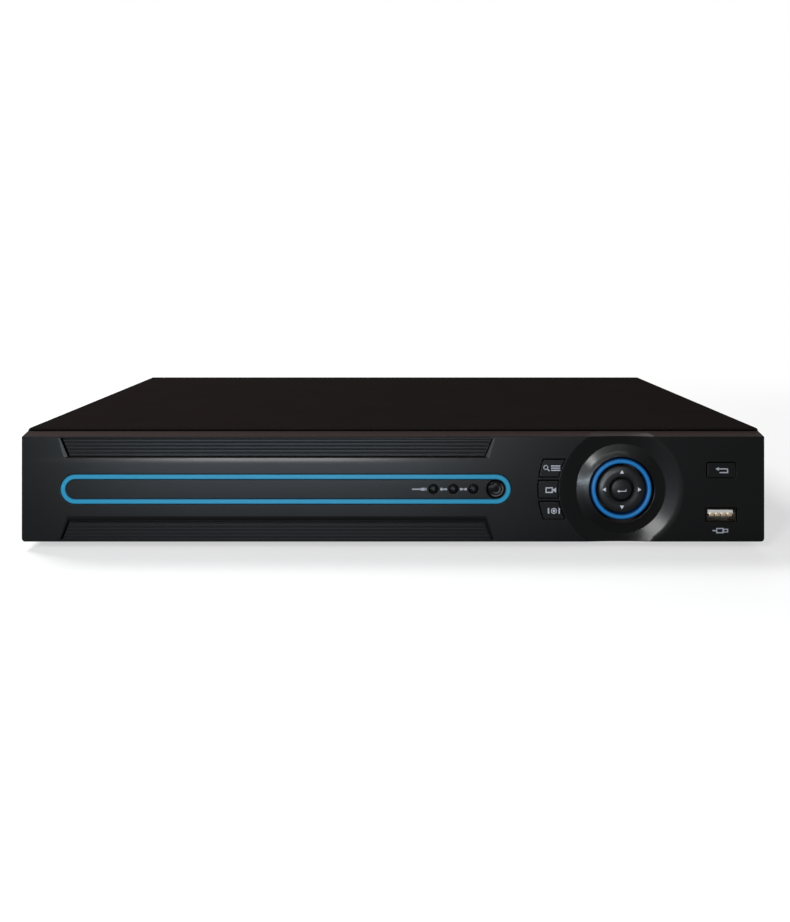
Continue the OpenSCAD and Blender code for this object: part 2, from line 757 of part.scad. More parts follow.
// Front bezel
module bezel_outline() {
    translate([-half_w, floor_gap + corner_r]) square([bezel_w, lip_top - floor_gap - corner_r]);
    translate([-half_w + corner_r, floor_gap]) square([bezel_w - 2 * corner_r, lip_top - floor_gap]);
    for (s = [-1, 1]) translate([s * (half_w - corner_r), floor_gap + corner_r]) circle(corner_r);
}
module bezel_shell() {
    difference() {
        union() {
            intersection() {
                standing(0, lip_d) bezel_outline();
                running(-half_w, bezel_w) {
                    polygon([[0, floor_gap], [0, face_top], [lip_d, lip_top], [lip_d, floor_gap]]);
                }
            }
            box(-tray_x, tray_x, lip_d, bezel_d, base_z, spigot_top);
        }
        box(-cav_x, cav_x, trim_back, bezel_d + over, cav_bot, cav_top);
        box(-cav_x, cav_x, face_t, trim_back + over, lower_z + rim_w, upper_z - rim_w);
        box(trim_x1 + bezel_wall, cav_x, face_t, trim_back + over, cav_bot, cav_top);
        turned(dial_x, mid_z) {
            polygon([[0, -over], [dish_r, -over], [dish_r, 0], [collar_r, dish_d], [0, dish_d]]);
        }
        trim_recess(face_top, -1);
        trim_recess(floor_gap, 1);
    }
}
// Trapezoid from the face's edge; way is the sign of Z inwards
module trim_outline(edge, way, gap, reach) {
    side = gap * sqrt(1 + trim_lean * trim_lean);
    z0 = edge + way * brow;
    z1 = edge + way * reach;
    lean = trim_lean * reach;
    polygon([[strip_x0 + side, z0], [trim_x1 - side, z0], [trim_x1 - side - lean, z1],
             [strip_x0 + side + lean, z1]]);
}
// Recess with a rounded rim on its inner edge and bevelled ends
rim_steps = 6;
module trim_recess(edge, way) {
    inner = edge + way * trim_h;
    outer = edge + way * brow;
    rim = way > 0 ? rim_w : lip_w;
    intersection() {
        union() {
            standing(-over, trim_d + over) trim_outline(edge, way, 0, trim_h + rim);
            for (s = [-1, 1]) translate([s < 0 ? strip_x0 : trim_x1, 0, edge]) {
                rotate([0, -s * way * atan(trim_lean), 0]) linear_extrude(4 * trim_h, center = true) {
                    polygon([[-s * over, -over], [s * end_w, -over], [s * end_w, 0], [0, end_d],
                             [-s * over, end_d]]);
                }
            }
        }
        running(strip_x0 - 2 * over, trim_len + 4 * over) {
            polygon(concat([[-over, outer], [trim_d, outer], [trim_d, inner]],
                           arc(rim_d, inner + way * rim, -rim_d, -way * rim, 90, 0, rim_steps),
                           [[-over, inner + way * rim]]));
        }
    }
}
module front_bezel() {
    color("#23262b") difference() {
        union() {
            bezel_shell();
            turned(dial_x, mid_z) {
                polygon([[ring_bore_r, face_t], [ring_bore_r, crest_bevel_d],
                         [crest_r - crest_w, -crest_proud], [crest_r, -crest_proud],
                         [collar_r, dish_d], [collar_r, face_t]]);
            }
            turned(dial_x, mid_z) {
                translate([well_r, face_t - root]) square([well_wall, well_end - face_t + root]);
            }
            for (p = board_bosses) bar_y(p[0], p[1], boss_r, face_t - root, board_y);
            for (p = bezel_posts) bar_y(p[0], p[1], post_r, face_t - root, bezel_d);
        }
        bar_y(dial_x, mid_z, ring_bore_r, -over, face_t + over);
        bar_z(dial_x, pivot_d, pivot_r + pivot_gap, mid_z - well_out_r - over, mid_z + well_out_r + over);
        standing(-over, strip_d + over) translate([strip_x, mid_z]) strip_outline(strip_gap);
        for (x = lens_xs) bar_y(x, mid_z, lens_r + lens_gap, -over, face_t + over);
        bar_y(window_x, mid_z, window_r + lens_gap, -over, face_t + over);
        for (row = [-1:1]) standing(-over, face_t + 2 * over) translate([dial_x, mid_z]) {
            key_outline(row, key_gap);
        }
        standing(-over, face_t + 2 * over) translate([right_x, back_key_z]) back_key_outline(key_gap);
        standing(-over, face_t + 2 * over) translate([right_x, data_z]) loose_square(data_w, data_h);
        for (p = board_bosses) bar_y(p[0], p[1], screw_r + bite_gap, board_y - screw_len, board_y + over);
        for (p = bezel_posts) bar_y(p[0], p[1], screw_r + bite_gap, bezel_d - screw_len, bezel_d + over);
    }
}

// Trim with flat ribs
module grille(edge, way) {
    outer = edge + way * brow;
    inner = edge + way * (trim_h - trim_groove);
    z0 = min(outer, inner);
    rib_count = round(abs(outer - inner) / rib_pitch);
    pitch = abs(outer - inner) / rib_count;
    intersection() {
        standing(-over, trim_d + over) trim_outline(edge, way, trim_groove, trim_h - trim_groove);
        running(strip_x0 - over, trim_len + 2 * over) {
            polygon(concat([[trim_d, z0]],
                           [for (i = [0:rib_count - 1], c = [[0, 0], [rib_crest, 0], [rib_crest, 1], [1, 1]])
                            [trim_set + rib_d * c[1], z0 + (i + c[0]) * pitch]],
                           [[trim_d, max(outer, inner)]]));
        }
    }
}
module upper_grille() {
    color("#2c2d30") grille(face_top, -1);
}
module lower_grille() {
    color("#2c2d30") grille(floor_gap, 1);
}

// Light strip in its groove
strip_gap = 0.1;
module strip_outline(gap) {
    difference() {
        stadium(strip_len + 2 * gap, strip_h + 2 * gap);
        stadium(strip_len - 2 * strip_line - 2 * gap, strip_h - 2 * strip_line - 2 * gap);
    }
}
module light_strip() {
    color("#3d9fd0") standing(0, strip_d) translate([strip_x, mid_z]) strip_outline(0);
}

// Ring light: half-round front and a flange behind the face
ring_proud = 0.1;
ring_round = 0.9;
module ring_light() {
    color("#2a86c8") turned(dial_x, mid_z) {
        polygon(concat([[ring_in_r, face_t + ring_flange_t], [ring_flange_r, face_t + ring_flange_t],
                        [ring_flange_r, face_t], [ring_r, face_t]],
                       arc((ring_r + ring_in_r) / 2, ring_round - ring_proud, (ring_r - ring_in_r) / 2,
                           -ring_round, 0, 180, 12)));
    }
}

// Status lenses: light pipes with a collar
lens_gap = 0.1;
lens_collar = 0.6;
lens_set = 0.3;
lamp_r = 1.5;
lamp_h = 4.2;
lamp_rim = 0.3;
lamp_rim_h = 1;
pipe_end = board_y - lamp_h - 0.2;
module status_lenses() {
    color("#17181a") for (x = lens_xs) turned(x, mid_z) {
        polygon(concat([[0, pipe_end], [lens_r - lens_collar, pipe_end],
                        [lens_r - lens_collar, face_t + lens_collar],
                        [lens_r + lens_collar, face_t + lens_collar],
                        [lens_r + lens_collar, face_t], [lens_r, face_t]],
                       arc(0, lens_set + lens_collar, lens_r, -lens_collar, 0, 90, 8)));
    }
}
module ir_window() {
    color("#0c0c0d") turned(window_x, mid_z) {
        polygon(concat([[0, face_t + lens_collar], [window_r + lens_collar, face_t + lens_collar],
                        [window_r + lens_collar, face_t], [window_r, face_t], [window_r, 0]],
                       arc(0, lens_set + lens_collar, window_r - lens_collar, -lens_collar, 0, 90, 8)));
    }
}

// Keys beside the dial: sectors about its centre, in rows
module key_outline(row, grow) {
    intersection() {
        difference() {
            circle(key_out_r + grow);
            circle(key_in_r - grow);
        }
        translate([-key_out_r - grow, row * key_pitch - key_h / 2 - grow]) {
            square([key_out_r + grow, key_h + 2 * grow]);
        }
    }
}
module back_key_outline(grow) {
    rounded(back_key_w + 2 * grow, back_key_h + 2 * grow, back_key_round + grow);
}
back_key_round = 0.8;
flange_y = face_t + key_play;
module dial_key(row) {
    color("#1d1e21") {
        standing(-key_proud, key_proud + flange_y) translate([dial_x, mid_z]) key_outline(row, 0);
        standing(flange_y, flange_t) translate([dial_x, mid_z]) key_outline(row, key_flange);
        bar_y(key_row_x, mid_z + row * key_pitch, stem_r, flange_y + flange_t - root, stem_end);
    }
}
module upper_key() {
    dial_key(1);
}
module middle_key() {
    dial_key(0);
}
module lower_key() {
    dial_key(-1);
}
module back_key() {
    color("#1d1e21") {
        standing(-key_proud, key_proud + flange_y) translate([right_x, back_key_z]) back_key_outline(0);
        standing(flange_y, flange_t) translate([right_x, back_key_z]) back_key_outline(key_flange);
        bar_y(right_x, back_key_z, stem_r, flange_y + flange_t - root, stem_end);
    }
}

// Enter button: dome, barrel, flange and stem
enter_edge = 0.2;
enter_flange_y = rocker_back + 0.8;
enter_flange_r = rocker_hole_r + 0.25;
module enter_button() {
    color("#202225") turned(dial_x, mid_z) {
        polygon(concat([[0, stem_end], [stem_r, stem_end], [stem_r, enter_flange_y + flange_t],
                        [enter_flange_r, enter_flange_y + flange_t], [enter_flange_r, enter_flange_y],
                        [enter_r, enter_flange_y]],
                       arc(0, enter_edge, enter_r, -enter_edge - enter_proud, 0, 90, 10)));
    }
}

// Rocker ring: crown, skirt, pins along X, four posts
rocker_edge = 0.5;
module rocker_ring() {
    color("#1f2124") {
        turned(dial_x, mid_z) {
            polygon(concat([[rocker_hole_r, rocker_back], [rocker_r, rocker_back]],
                           arc((rocker_hole_r + rocker_r) / 2, rocker_edge, (rocker_r - rocker_hole_r) / 2,
                               -rocker_edge - rocker_proud, 0, 180, 12)));
        }
        turned(dial_x, mid_z) translate([skirt_in_r, rocker_back - root]) {
            square([skirt_out_r - skirt_in_r, pivot_d + pivot_r + 2 * root - rocker_back]);
        }
        for (x = [-gimbal_out_r, skirt_in_r]) {
            bar_x(pivot_d, mid_z, pivot_r, dial_x + x, dial_x + x + gimbal_out_r - skirt_in_r);
        }
        for (a = [0:90:270]) {
            bar_y(dial_x + rocker_post_at * cos(a), mid_z + rocker_post_at * sin(a), rocker_post_r,
                  rocker_back - root, plunger_y - rocker_play);
        }
    }
}

// Gimbal: ring bored along X for the rocker's pins, with pins along Z
module rocker_gimbal() {
    pin_len = well_out_r - gimbal_out_r + root;
    color("#b9bbb6") translate([dial_x, 0, mid_z]) {
        difference() {
            turned(0, 0) translate([gimbal_in_r, pivot_d - gimbal_t / 2]) {
                square([gimbal_out_r - gimbal_in_r, gimbal_t]);
            }
            bar_x(pivot_d, 0, pivot_r + pivot_gap, -gimbal_out_r - over, gimbal_out_r + over);
        }
        for (z = [-well_out_r, gimbal_out_r - root]) bar_z(0, pivot_d, pivot_r, z, z + pin_len);
    }
}

// Front board and its parts
header_w = 30;
header_h = 8;
header_d = tray_y0 - board_back - 0.4;
module front_board() {
    color("#1d5a34") difference() {
        box(board_x0, board_x1, board_y, board_back, board_z0, board_z1);
        for (p = board_bosses) bar_y(p[0], p[1], screw_r + hold_gap, board_y - over, board_back + over);
    }
}
switch_places = concat([for (row = [-1:1]) [key_row_x, mid_z + row * key_pitch, switch_wide]],
                       [[right_x, back_key_z, switch_wide], [dial_x, mid_z, switch_small]],
                       [for (a = [0:90:270]) [dial_x + rocker_post_at * cos(a),
                                              mid_z + rocker_post_at * sin(a), switch_small]]);
module push_switches() {
    color("#55585c") for (p = switch_places) {
        standing(board_y - switch_body_h, switch_body_h) translate([p[0], p[1]]) square(p[2], center = true);
        bar_y(p[0], p[1], plunger_r, plunger_y, board_y - switch_body_h + root);
    }
}
module status_lamps() {
    color("#d9dcc8") for (x = lens_xs) turned(x, mid_z) {
        polygon(concat([[0, board_y], [lamp_r + lamp_rim, board_y], [lamp_r + lamp_rim, board_y - lamp_rim_h],
                        [lamp_r, board_y - lamp_rim_h]],
                       arc(0, board_y - lamp_h + lamp_r, lamp_r, -lamp_r, 0, 90, 8)));
    }
}
receiver_w = 6;
receiver_h = 7;
receiver_d = 3.5;
module ir_receiver() {
    color("#1a1a1c") {
        box(window_x - receiver_w / 2, window_x + receiver_w / 2, board_y - receiver_d, board_y,
            mid_z - receiver_h / 2, mid_z + receiver_h / 2);
        translate([window_x, board_y - receiver_d, mid_z]) sphere(r = receiver_w / 2 - root);
    }
}

// Data socket with its mouth at y = 0 and its middle at z = 0
tongue_w = 11.1;
tongue_t = 1.8;
tongue_set = 0.9;
tongue_gap = 0.5;
data_base_d = 4;
module data_shell() {
    difference() {
        standing(0, data_len) square([data_w, data_h], center = true);
        standing(-over, data_len + 2 * over) {
            square([data_w - 2 * shell_t, data_h - 2 * shell_t], center = true);
        }
    }
}
module data_tongue() {
    top = data_h / 2 - shell_t - tongue_gap;
    box(-tongue_w / 2, tongue_w / 2, tongue_set, data_len - data_base_d + root, top - tongue_t, top);
    standing(data_len - data_base_d, data_base_d) {
        square([data_w - 2 * shell_t, data_h - 2 * shell_t], center = true);
    }
}
module front_data_shell() {
    color("#b8b9ba") translate([right_x, data_set, data_z]) data_shell();
}
module front_data_tongue() {
    color("#e9e7e0") translate([right_x, data_set, data_z]) data_tongue();
}
module rear_data_shell() {
    color("#b8b9ba") translate([rear_data_x, rear_data_end, rear_data_z]) rotate([0, 0, 180]) data_shell();
}
module rear_data_tongue() {
    color("#e9e7e0") translate([rear_data_x, rear_data_end, rear_data_z]) rotate([0, 0, 180]) data_tongue();
}

// Ribbon cable: flat run and a bend, with a plug on each board
ribbon_w = 25;
ribbon_clear = 9.3;
cable_x = lead_x(lead_step) + plug_w / 2 + ribbon_clear + header_w / 2;
ribbon_t = 1;
ribbon_bend = 6;
ribbon_rise = 2;
ribbon_z = main_top + header_h + ribbon_bend + ribbon_rise;
ribbon_y = main_y0 + header_h;
module ribbon_cable() {
    color("#8b8f94") {
        box(cable_x - header_w / 2, cable_x + header_w / 2, board_back, board_back + header_d,
            ribbon_z - header_h / 2, ribbon_z + header_h / 2);
        translate([cable_x - header_w / 2, ribbon_y - header_h / 2, main_top]) {
            cube([header_w, header_h, header_h]);
        }
        running(cable_x - ribbon_w / 2, ribbon_w) {
            translate([board_back + header_d - root, ribbon_z - ribbon_t / 2]) {
                square([ribbon_y - ribbon_bend - board_back - header_d + root, ribbon_t]);
            }
            translate([ribbon_y - ribbon_bend, ribbon_z - ribbon_bend]) intersection() {
                difference() {
                    circle(ribbon_bend + ribbon_t / 2);
                    circle(ribbon_bend - ribbon_t / 2);
                }
                square(ribbon_bend + ribbon_t);
            }
            translate([ribbon_y - ribbon_t / 2, main_top + header_h - root]) {
                square([ribbon_t, ribbon_z - ribbon_bend - main_top - header_h + root]);
            }
        }
    }
}

// Main board and its parts
module main_board() {
    color("#1f6a3c") difference() {
        box(main_x0, main_x1, main_y0, main_y1, main_z, main_top);
        for (x = standoff_xs, y = standoff_ys) {
            bar_z(x, y, screw_r + hold_gap, main_z - over, main_top + over);
        }
    }
}
module board_standoffs() {
    color("#b79b55") for (x = standoff_xs, y = standoff_ys) translate([x, y, 0]) difference() {
        union() {
            translate([0, 0, base_top]) cylinder(r = standoff_flats / sqrt(3), h = standoff_h, $fn = 6);
            translate([0, 0, base_z]) cylinder(r = standoff_flats / 2 - root, h = sheet_t + root);
        }
        bar_z(0, 0, screw_r + bite_gap, base_z - over, main_z + over);
    }
}
chip_share = 0.6;
chip_x = main_x0 + main_w * chip_share;
chip_y = (main_y0 + plug_rim + plug_len + main_y1 - socket_d) / 2;
module processor() {
    color("#26272a") flat_chip(chip_x, chip_y, chip_w, chip_w, chip_h);
}
sink_base = 3;
fin_t = 1.2;
module heat_sink() {
    color("#3c4045") translate([chip_x - sink_w / 2, chip_y - sink_w / 2, main_top + chip_h]) {
        cube([sink_w, sink_w, sink_base]);
        for (i = [0:fin_count - 1]) {
            translate([i * (sink_w - fin_t) / (fin_count - 1), 0, 0]) cube([fin_t, sink_w, sink_h]);
        }
    }
}
// Flat package on the main board
module flat_chip(x, y, w, d, h) {
    box(x - w / 2, x + w / 2, y - d / 2, y + d / 2, main_top, main_top + h);
}
memory_w = 10;
memory_d = 9;
memory_h = 1.2;
memory_pitch = 11.5;
memory_x = chip_x + sink_w / 2 + memory_w;
decoder_w = 14;
decoder_h = 1.4;
decoder_in = 28;
coupler_w = 16;
coupler_d = 12;
coupler_h = 6;
module board_chips() {
    color("#1f2022") {
        for (i = [0:3]) flat_chip(memory_x, chip_y + (i - 1.5) * memory_pitch, memory_d, memory_w, memory_h);
        for (i = [0:1]) {
            flat_chip(main_x1 - decoder_in, main_y0 + decoder_in * (i + 1 / 2), decoder_w, decoder_w,
                      decoder_h);
        }
        flat_chip(net_x, main_y1 - socket_d - coupler_d, coupler_w, coupler_d, coupler_h);
    }
}
can_r = 4;
can_h = 11;
can_gap = 1.5;
module capacitors() {
    color("#2b3f63") for (i = [0:3]) {
        bar_z(cell_x + cell_r + holder_wall + can_gap + can_r,
              main_y0 + can_gap + can_r + i * (2 * can_r + can_gap), can_r, main_top, main_top + can_h);
    }
}
holder_wall = 1.2;
cell_in = 28;
cell_x = main_x0 + cell_in;
cell_y = main_y0 + cell_in;
cell_z = main_top + holder_wall;
module cell_holder() {
    color("#202123") difference() {
        bar_z(cell_x, cell_y, cell_r + holder_wall + bite_gap, main_top, cell_z + cell_h / 2);
        bar_z(cell_x, cell_y, cell_r + bite_gap, cell_z, cell_z + cell_h);
    }
}
module clock_cell() {
    color("#c9cbcd") bar_z(cell_x, cell_y, cell_r, cell_z, cell_z + cell_h);
}

// Video sockets: housing, barrels with bayonet lugs
housing_d = 14;
video_trim = 1.4;
lug_in = 2.4;
lug_r = 0.95;
lug_reach = 0.8;
contact_r = 0.75;
contact_gap = 0.05;
dielectric_set = 1.5;
module video_housing() {
    color("#1b1c1e") difference() {
        union() {
            box(video_xs[video_cols - 1] - video_half, video_x0 + video_half, housing_y1 - housing_d,
                housing_y1, main_top, video_zs[1] + video_half - video_trim);
            for (x = video_xs, z = video_zs) {
                bar_y(x, z, video_dielectric_r, housing_y1 - root, video_end - dielectric_set);
            }
        }
        for (x = video_xs, z = video_zs) {
            bar_y(x, z, contact_r + contact_gap, housing_y1, video_end);
        }
    }
}
module video_barrels() {
    color("#c3c4c4") for (x = video_xs, z = video_zs) difference() {
        union() {
            bar_y(x, z, video_root_r, housing_y1, rear_out + root);
            translate([x, rear_out, z]) rotate([-90, 0, 0]) {
                cylinder(r = video_nut_flats / sqrt(3), h = video_nut_t, $fn = 6);
            }
            bar_y(x, z, video_r, rear_out, video_end);
            bar_z(x, video_end - lug_in, lug_r, z - video_r - lug_reach, z + video_r + lug_reach);
        }
        bar_y(x, z, video_r - video_wall, rear_in - over, video_end + over);
    }
}

// Contacts: video centres, network springs, the inlet's pin
inlet_snout_r = 4.6;
inlet_depth = 9.6;
inlet_pin_r = 1;
inlet_end = rear_out + 1.5;
net_end = rear_out + 1.2;
net_port_w = 11.9;
net_port_h = 8;
net_port_d = 13;
net_floor = 2.4;
spring_t = 0.4;
spring_pitch = 1.02;
spring_len = 9;
contact_set = dielectric_set + 0.6;
inlet_pin_set = 1.2;
module rear_contacts() {
    color("#cda349") {
        for (x = video_xs, z = video_zs) bar_y(x, z, contact_r, housing_y1, video_end - contact_set);
        bar_y(inlet_x, inlet_z, inlet_pin_r, inlet_end - inlet_depth, inlet_end - inlet_pin_set);
        for (i = [0:7]) translate([net_x + (i - 3.5) * spring_pitch, net_end - net_port_d, main_top]) {
            translate([-spring_t / 2, 0, net_floor + net_port_h - spring_t]) {
                cube([spring_t, spring_len, spring_t]);
            }
        }
    }
}

// Audio sockets
audio_pin_r = 1.6;
audio_set = 0.6;
audio_end = rear_out + audio_len;
audio_trim = 1;
module audio_housing() {
    color("#dadad6") difference() {
        union() {
            box(audio_xs[1] - audio_half, audio_x0 + audio_half, housing_y1 - housing_d, housing_y1,
                main_top, audio_zs[1] + audio_half - audio_trim);
            for (x = audio_xs, z = audio_zs) {
                bar_y(x, z, audio_r - audio_wall - bite_gap, housing_y1 - root, audio_end - audio_set);
            }
        }
        for (x = audio_xs, z = audio_zs) bar_y(x, z, audio_pin_r, rear_out, audio_end);
    }
}
module audio_barrels() {
    color("#c3c4c4") for (x = audio_xs, z = audio_zs) difference() {
        bar_y(x, z, audio_r, housing_y1, audio_end);
        bar_y(x, z, audio_r - audio_wall, rear_in - over, audio_end + over);
    }
}

// Monitor socket: D-shaped shell, insert, jack posts
monitor_flange_h = 12.4;
monitor_flange_t = 0.8;
monitor_len = 5.6;
monitor_body_d = 9;
monitor_body_w = post_pitch - 4;
monitor_body_h = monitor_flange_h - 0.4;
monitor_lean = 0.18;
monitor_shell_t = 0.5;
pin_hole_r = 0.5;
pin_pitch = 2.3;
pin_row = 2;
post_stud_r = 1.45;
post_flats = 5;
post_len = 5;
post_stud_len = 3;
module d_outline(grow) {
    w = monitor_w / 2 + grow;
    h = monitor_h / 2 + grow;
    polygon([[-w, h], [w, h], [w - monitor_lean * 2 * h, -h], [-w + monitor_lean * 2 * h, -h]]);
}
module monitor_shell() {
    color("#bfc0c0") translate([monitor_x, 0, monitor_z]) difference() {
        union() {
            standing(rear_in - monitor_flange_t, monitor_flange_t) {
                square([monitor_flange_w, monitor_flange_h], center = true);
            }
            standing(rear_in - root, monitor_len + sheet_t + root) d_outline(0);
        }
        standing(rear_in - over, monitor_len + sheet_t + 2 * over) d_outline(-monitor_shell_t);
        for (s = [-1, 1]) {
            bar_y(s * post_pitch / 2, 0, post_stud_r + cut_gap, rear_in - 2 * over, rear_in + over);
        }
    }
}
module monitor_insert() {
    back = rear_in - monitor_flange_t;
    color("#2b4f9c") translate([monitor_x, 0, monitor_z]) difference() {
        union() {
            standing(back - monitor_body_d, monitor_body_d) {
                square([monitor_body_w, monitor_body_h], center = true);
            }
            standing(back - root, monitor_len + sheet_t + monitor_flange_t) {
                d_outline(-monitor_shell_t - bite_gap);
            }
        }
        for (row = [-1:1], i = [0:4]) {
            bar_y((i - 2 + row / 4) * pin_pitch, row * pin_row, pin_hole_r, rear_out, rear_out + monitor_len);
        }
    }
}
module jack_posts() {
    color("#c6c7c7") for (s = [-1, 1]) translate([monitor_x + s * post_pitch / 2, 0, monitor_z]) {
        difference() {
            union() {
                translate([0, rear_out, 0]) rotate([-90, 0, 0]) {
                    cylinder(r = post_flats / sqrt(3), h = post_len, $fn = 6);
                }
                bar_y(0, 0, post_stud_r, rear_in - monitor_flange_t - post_stud_len, rear_out + root);
            }
            bar_y(0, 0, post_bore_r, rear_out, rear_out + post_len + over);
        }
    }
}

// Network jack with a latch notch
net_body_d = 16;
latch_w = 6;
latch_h = 2;
module network_jack() {
    color("#a9abad") translate([net_x, net_end, main_top]) difference() {
        box(-net_w / 2, net_w / 2, -net_body_d, 0, 0, net_h);
        box(-net_port_w / 2, net_port_w / 2, -net_port_d, over, net_floor, net_floor + net_port_h);
        box(-latch_w / 2, latch_w / 2, -net_port_d, over, net_floor - latch_h, net_floor + root);
    }
}

// Screw terminal for the control wires
term_h = 10;
term_d = 11;
term_hole = 3.4;
term_screw_r = 1.7;
term_screw_in = 7.5;
term_hole_d = 6;
term_hole_z = 1.4;
term_proud = 0.6;
module terminal_block() {
    color("#3c8f5a") translate([term_x, rear_out + term_proud, main_top]) difference() {
        box(-term_w / 2, term_w / 2, -term_d, 0, 0, term_h);
        for (x = [-term_w / 4, term_w / 4]) {
            box(x - term_hole / 2, x + term_hole / 2, -term_hole_d, over, term_hole_z,
                term_hole_z + term_hole);
            bar_z(x, -term_screw_in, term_screw_r, term_h - term_hole, term_h + over);
        }
    }
}

// Power inlet
inlet_body_d = 13;
module power_inlet() {
    color("#18191a") translate([inlet_x, 0, 0]) difference() {
        union() {
            box(-inlet_body_w / 2, inlet_body_w / 2, housing_y1 - inlet_body_d, housing_y1, main_top,
                inlet_z + inlet_snout_r);
            bar_y(0, inlet_z, inlet_snout_r, housing_y1 - root, inlet_end);
        }
        bar_y(0, inlet_z, inlet_r, inlet_end - inlet_depth, inlet_end + over);
    }
}

// Power switch: housing with a pocket, rocker on a pin along X
switch_in_w = switch_w - 2;
switch_in_h = switch_h - 2;
switch_frame_t = 1.6;
switch_body_d = 14;
switch_wall = 1.2;
switch_round = 1;
rocker_swing_r = switch_in_h / 2 - switch_wall - 0.4;
rocker_side_gap = 0.3;
rocker_pin_r = 1.2;
pocket_d = 6;
module switch_housing() {
    pocket_w = switch_in_w - 2 * switch_wall;
    pocket_h = switch_in_h - 2 * switch_wall;
    color("#1a1b1d") translate([switch_x, 0, switch_z]) difference() {
        union() {
            standing(rear_out, switch_frame_t) rounded(switch_w, switch_h, switch_round);
            standing(rear_out - switch_body_d, switch_body_d + root) {
                square([switch_in_w, switch_in_h], center = true);
            }
        }
        standing(switch_y - pocket_d, pocket_d + rear_out + switch_frame_t + over - switch_y) {
            square([pocket_w, pocket_h], center = true);
        }
        bar_x(switch_y, 0, rocker_pin_r + pivot_gap, -switch_in_w, switch_in_w);
    }
}
paddle_out = 5;
paddle_dip = 1.2;
paddle_back = 3;
module power_rocker() {
    half = switch_in_w / 2 - switch_wall - rocker_side_gap;
    swing = rocker_swing_r;
    color("#202124") translate([switch_x, switch_y, switch_z]) {
        rotate([rocker_rest, 0, 0]) intersection() {
            running(-half, 2 * half) {
                polygon([[-paddle_back, -swing / 2], [0, -swing], [paddle_out, -swing],
                         [paddle_out - paddle_dip, 0], [paddle_out, swing], [0, swing],
                         [-paddle_back, swing / 2]]);
            }
            bar_x(0, 0, swing, -half - over, half + over);
        }
        bar_x(0, 0, rocker_pin_r, -switch_in_w / 2, switch_in_w / 2);
    }
}

// Fan: frame with a bush on struts, rotor on a shaft, screws
bush_r = 3.2;
fan_base_t = 1.6;
strut_w = 3;
fan_round = 2.5;
rotor_play = 0.7;
rotor_y0 = fan_y0 + fan_base_t + rotor_play;
rotor_y1 = rear_in - rotor_play;
cup_wall = 1.4;
module fan_frame() {
    color("#1c1d1f") {
        difference() {
            standing(fan_y0, fan_t) translate([fan_x, fan_z]) rounded(fan_w, fan_w, fan_round);
            bar_y(fan_x, fan_z, fan_bore_r, fan_y0 - over, rear_in + over);
            for (p = fan_holes) bar_y(p[0], p[1], screw_r + bite_gap, fan_y0 - over, rear_in + over);
        }
        translate([fan_x, 0, fan_z]) difference() {
            union() {
                bar_y(0, 0, hub_r - root, fan_y0, fan_y0 + fan_base_t);
                bar_y(0, 0, bush_r, fan_y0, rotor_y1 - cup_wall - rotor_play);
                standing(fan_y0, fan_base_t) for (a = [45:90:315]) rotate(a) {
                    translate([hub_r - over, -strut_w / 2]) {
                        square([fan_bore_r + root + over - hub_r, strut_w]);
                    }
                }
            }
            bar_y(0, 0, shaft_r + shaft_gap, fan_y0 + rotor_play, rear_in);
        }
    }
}
blade_t = 1.2;
blade_chord = 7;
blade_pitch = 38;
module fan_rotor() {
    color("#26272a") translate([fan_x, 0, fan_z]) {
        difference() {
            bar_y(0, 0, hub_r, rotor_y0, rotor_y1);
            bar_y(0, 0, hub_r - cup_wall, rotor_y0 - over, rotor_y1 - cup_wall);
        }
        bar_y(0, 0, shaft_r, fan_y0 + 2 * rotor_play, rotor_y1 - cup_wall + root);
        intersection() {
            difference() {
                bar_y(0, 0, fan_bore_r - blade_gap, rotor_y0, rotor_y1);
                bar_y(0, 0, hub_r - root, rotor_y0 - over, rotor_y1 + over);
            }
            for (i = [0:blade_count - 1]) translate([0, (rotor_y0 + rotor_y1) / 2, 0]) {
                rotate([0, i * 360 / blade_count, 0]) rotate([blade_pitch, 0, 0]) {
                    translate([hub_r - over, -blade_chord / 2, -blade_t / 2]) {
                        cube([fan_bore_r, blade_chord, blade_t]);
                    }
                }
            }
        }
    }
}
module fan_screws() {
    color("#26282a") for (p = fan_holes) translate([p[0], rear_out, p[1]]) rotate([-90, 0, 0]) {
        pan_screw(screw_r, fan_t, head_r, head_h);
    }
}

// Hard drive: casting, platter, actuator, lid, board
drive_board_t = 1.2;
drive_board_d = 3.2;
drive_floor = 3;
drive_wall = 2.4;
drive_end = 7.2;
drive_bite = 5;
pocket_side = 5;
pocket_half = drive_w / 2 - pocket_side;
tub_side = 12;
tub_half = drive_w / 2 - tub_side;
well_floor = drive_z + drive_board_d + drive_floor;
platter_x = drive_x0 + drive_w / 2;
platter_r = drive_w / 2 - platter_clear;
platter_up = 6;
platter_z = well_floor + platter_up;
platter_t = 1.3;
platter_play = 0.5;
post_over = 2;
post_top = platter_z + platter_t + post_over;
spindle_r = 4;
spindle_gap = 0.08;
platter_hub_r = 14;
arm_room = drive_x1 - drive_end - platter_x - platter_r;
arm_at = 0.35;
arm_share = 0.5;
arm_x = platter_x + platter_r + arm_room * arm_at;
arm_y = drive_y - platter_r * arm_share;
arm_r = 6;
arm_pin_r = 2.5;
arm_short = 3.5;
arm_len = platter_r - arm_short;
arm_t = 1;
arm_gap = 1.2;
arm_rest = 157;
pocket_in = 13.5;
pocket_x0 = platter_x + platter_r - pocket_in;
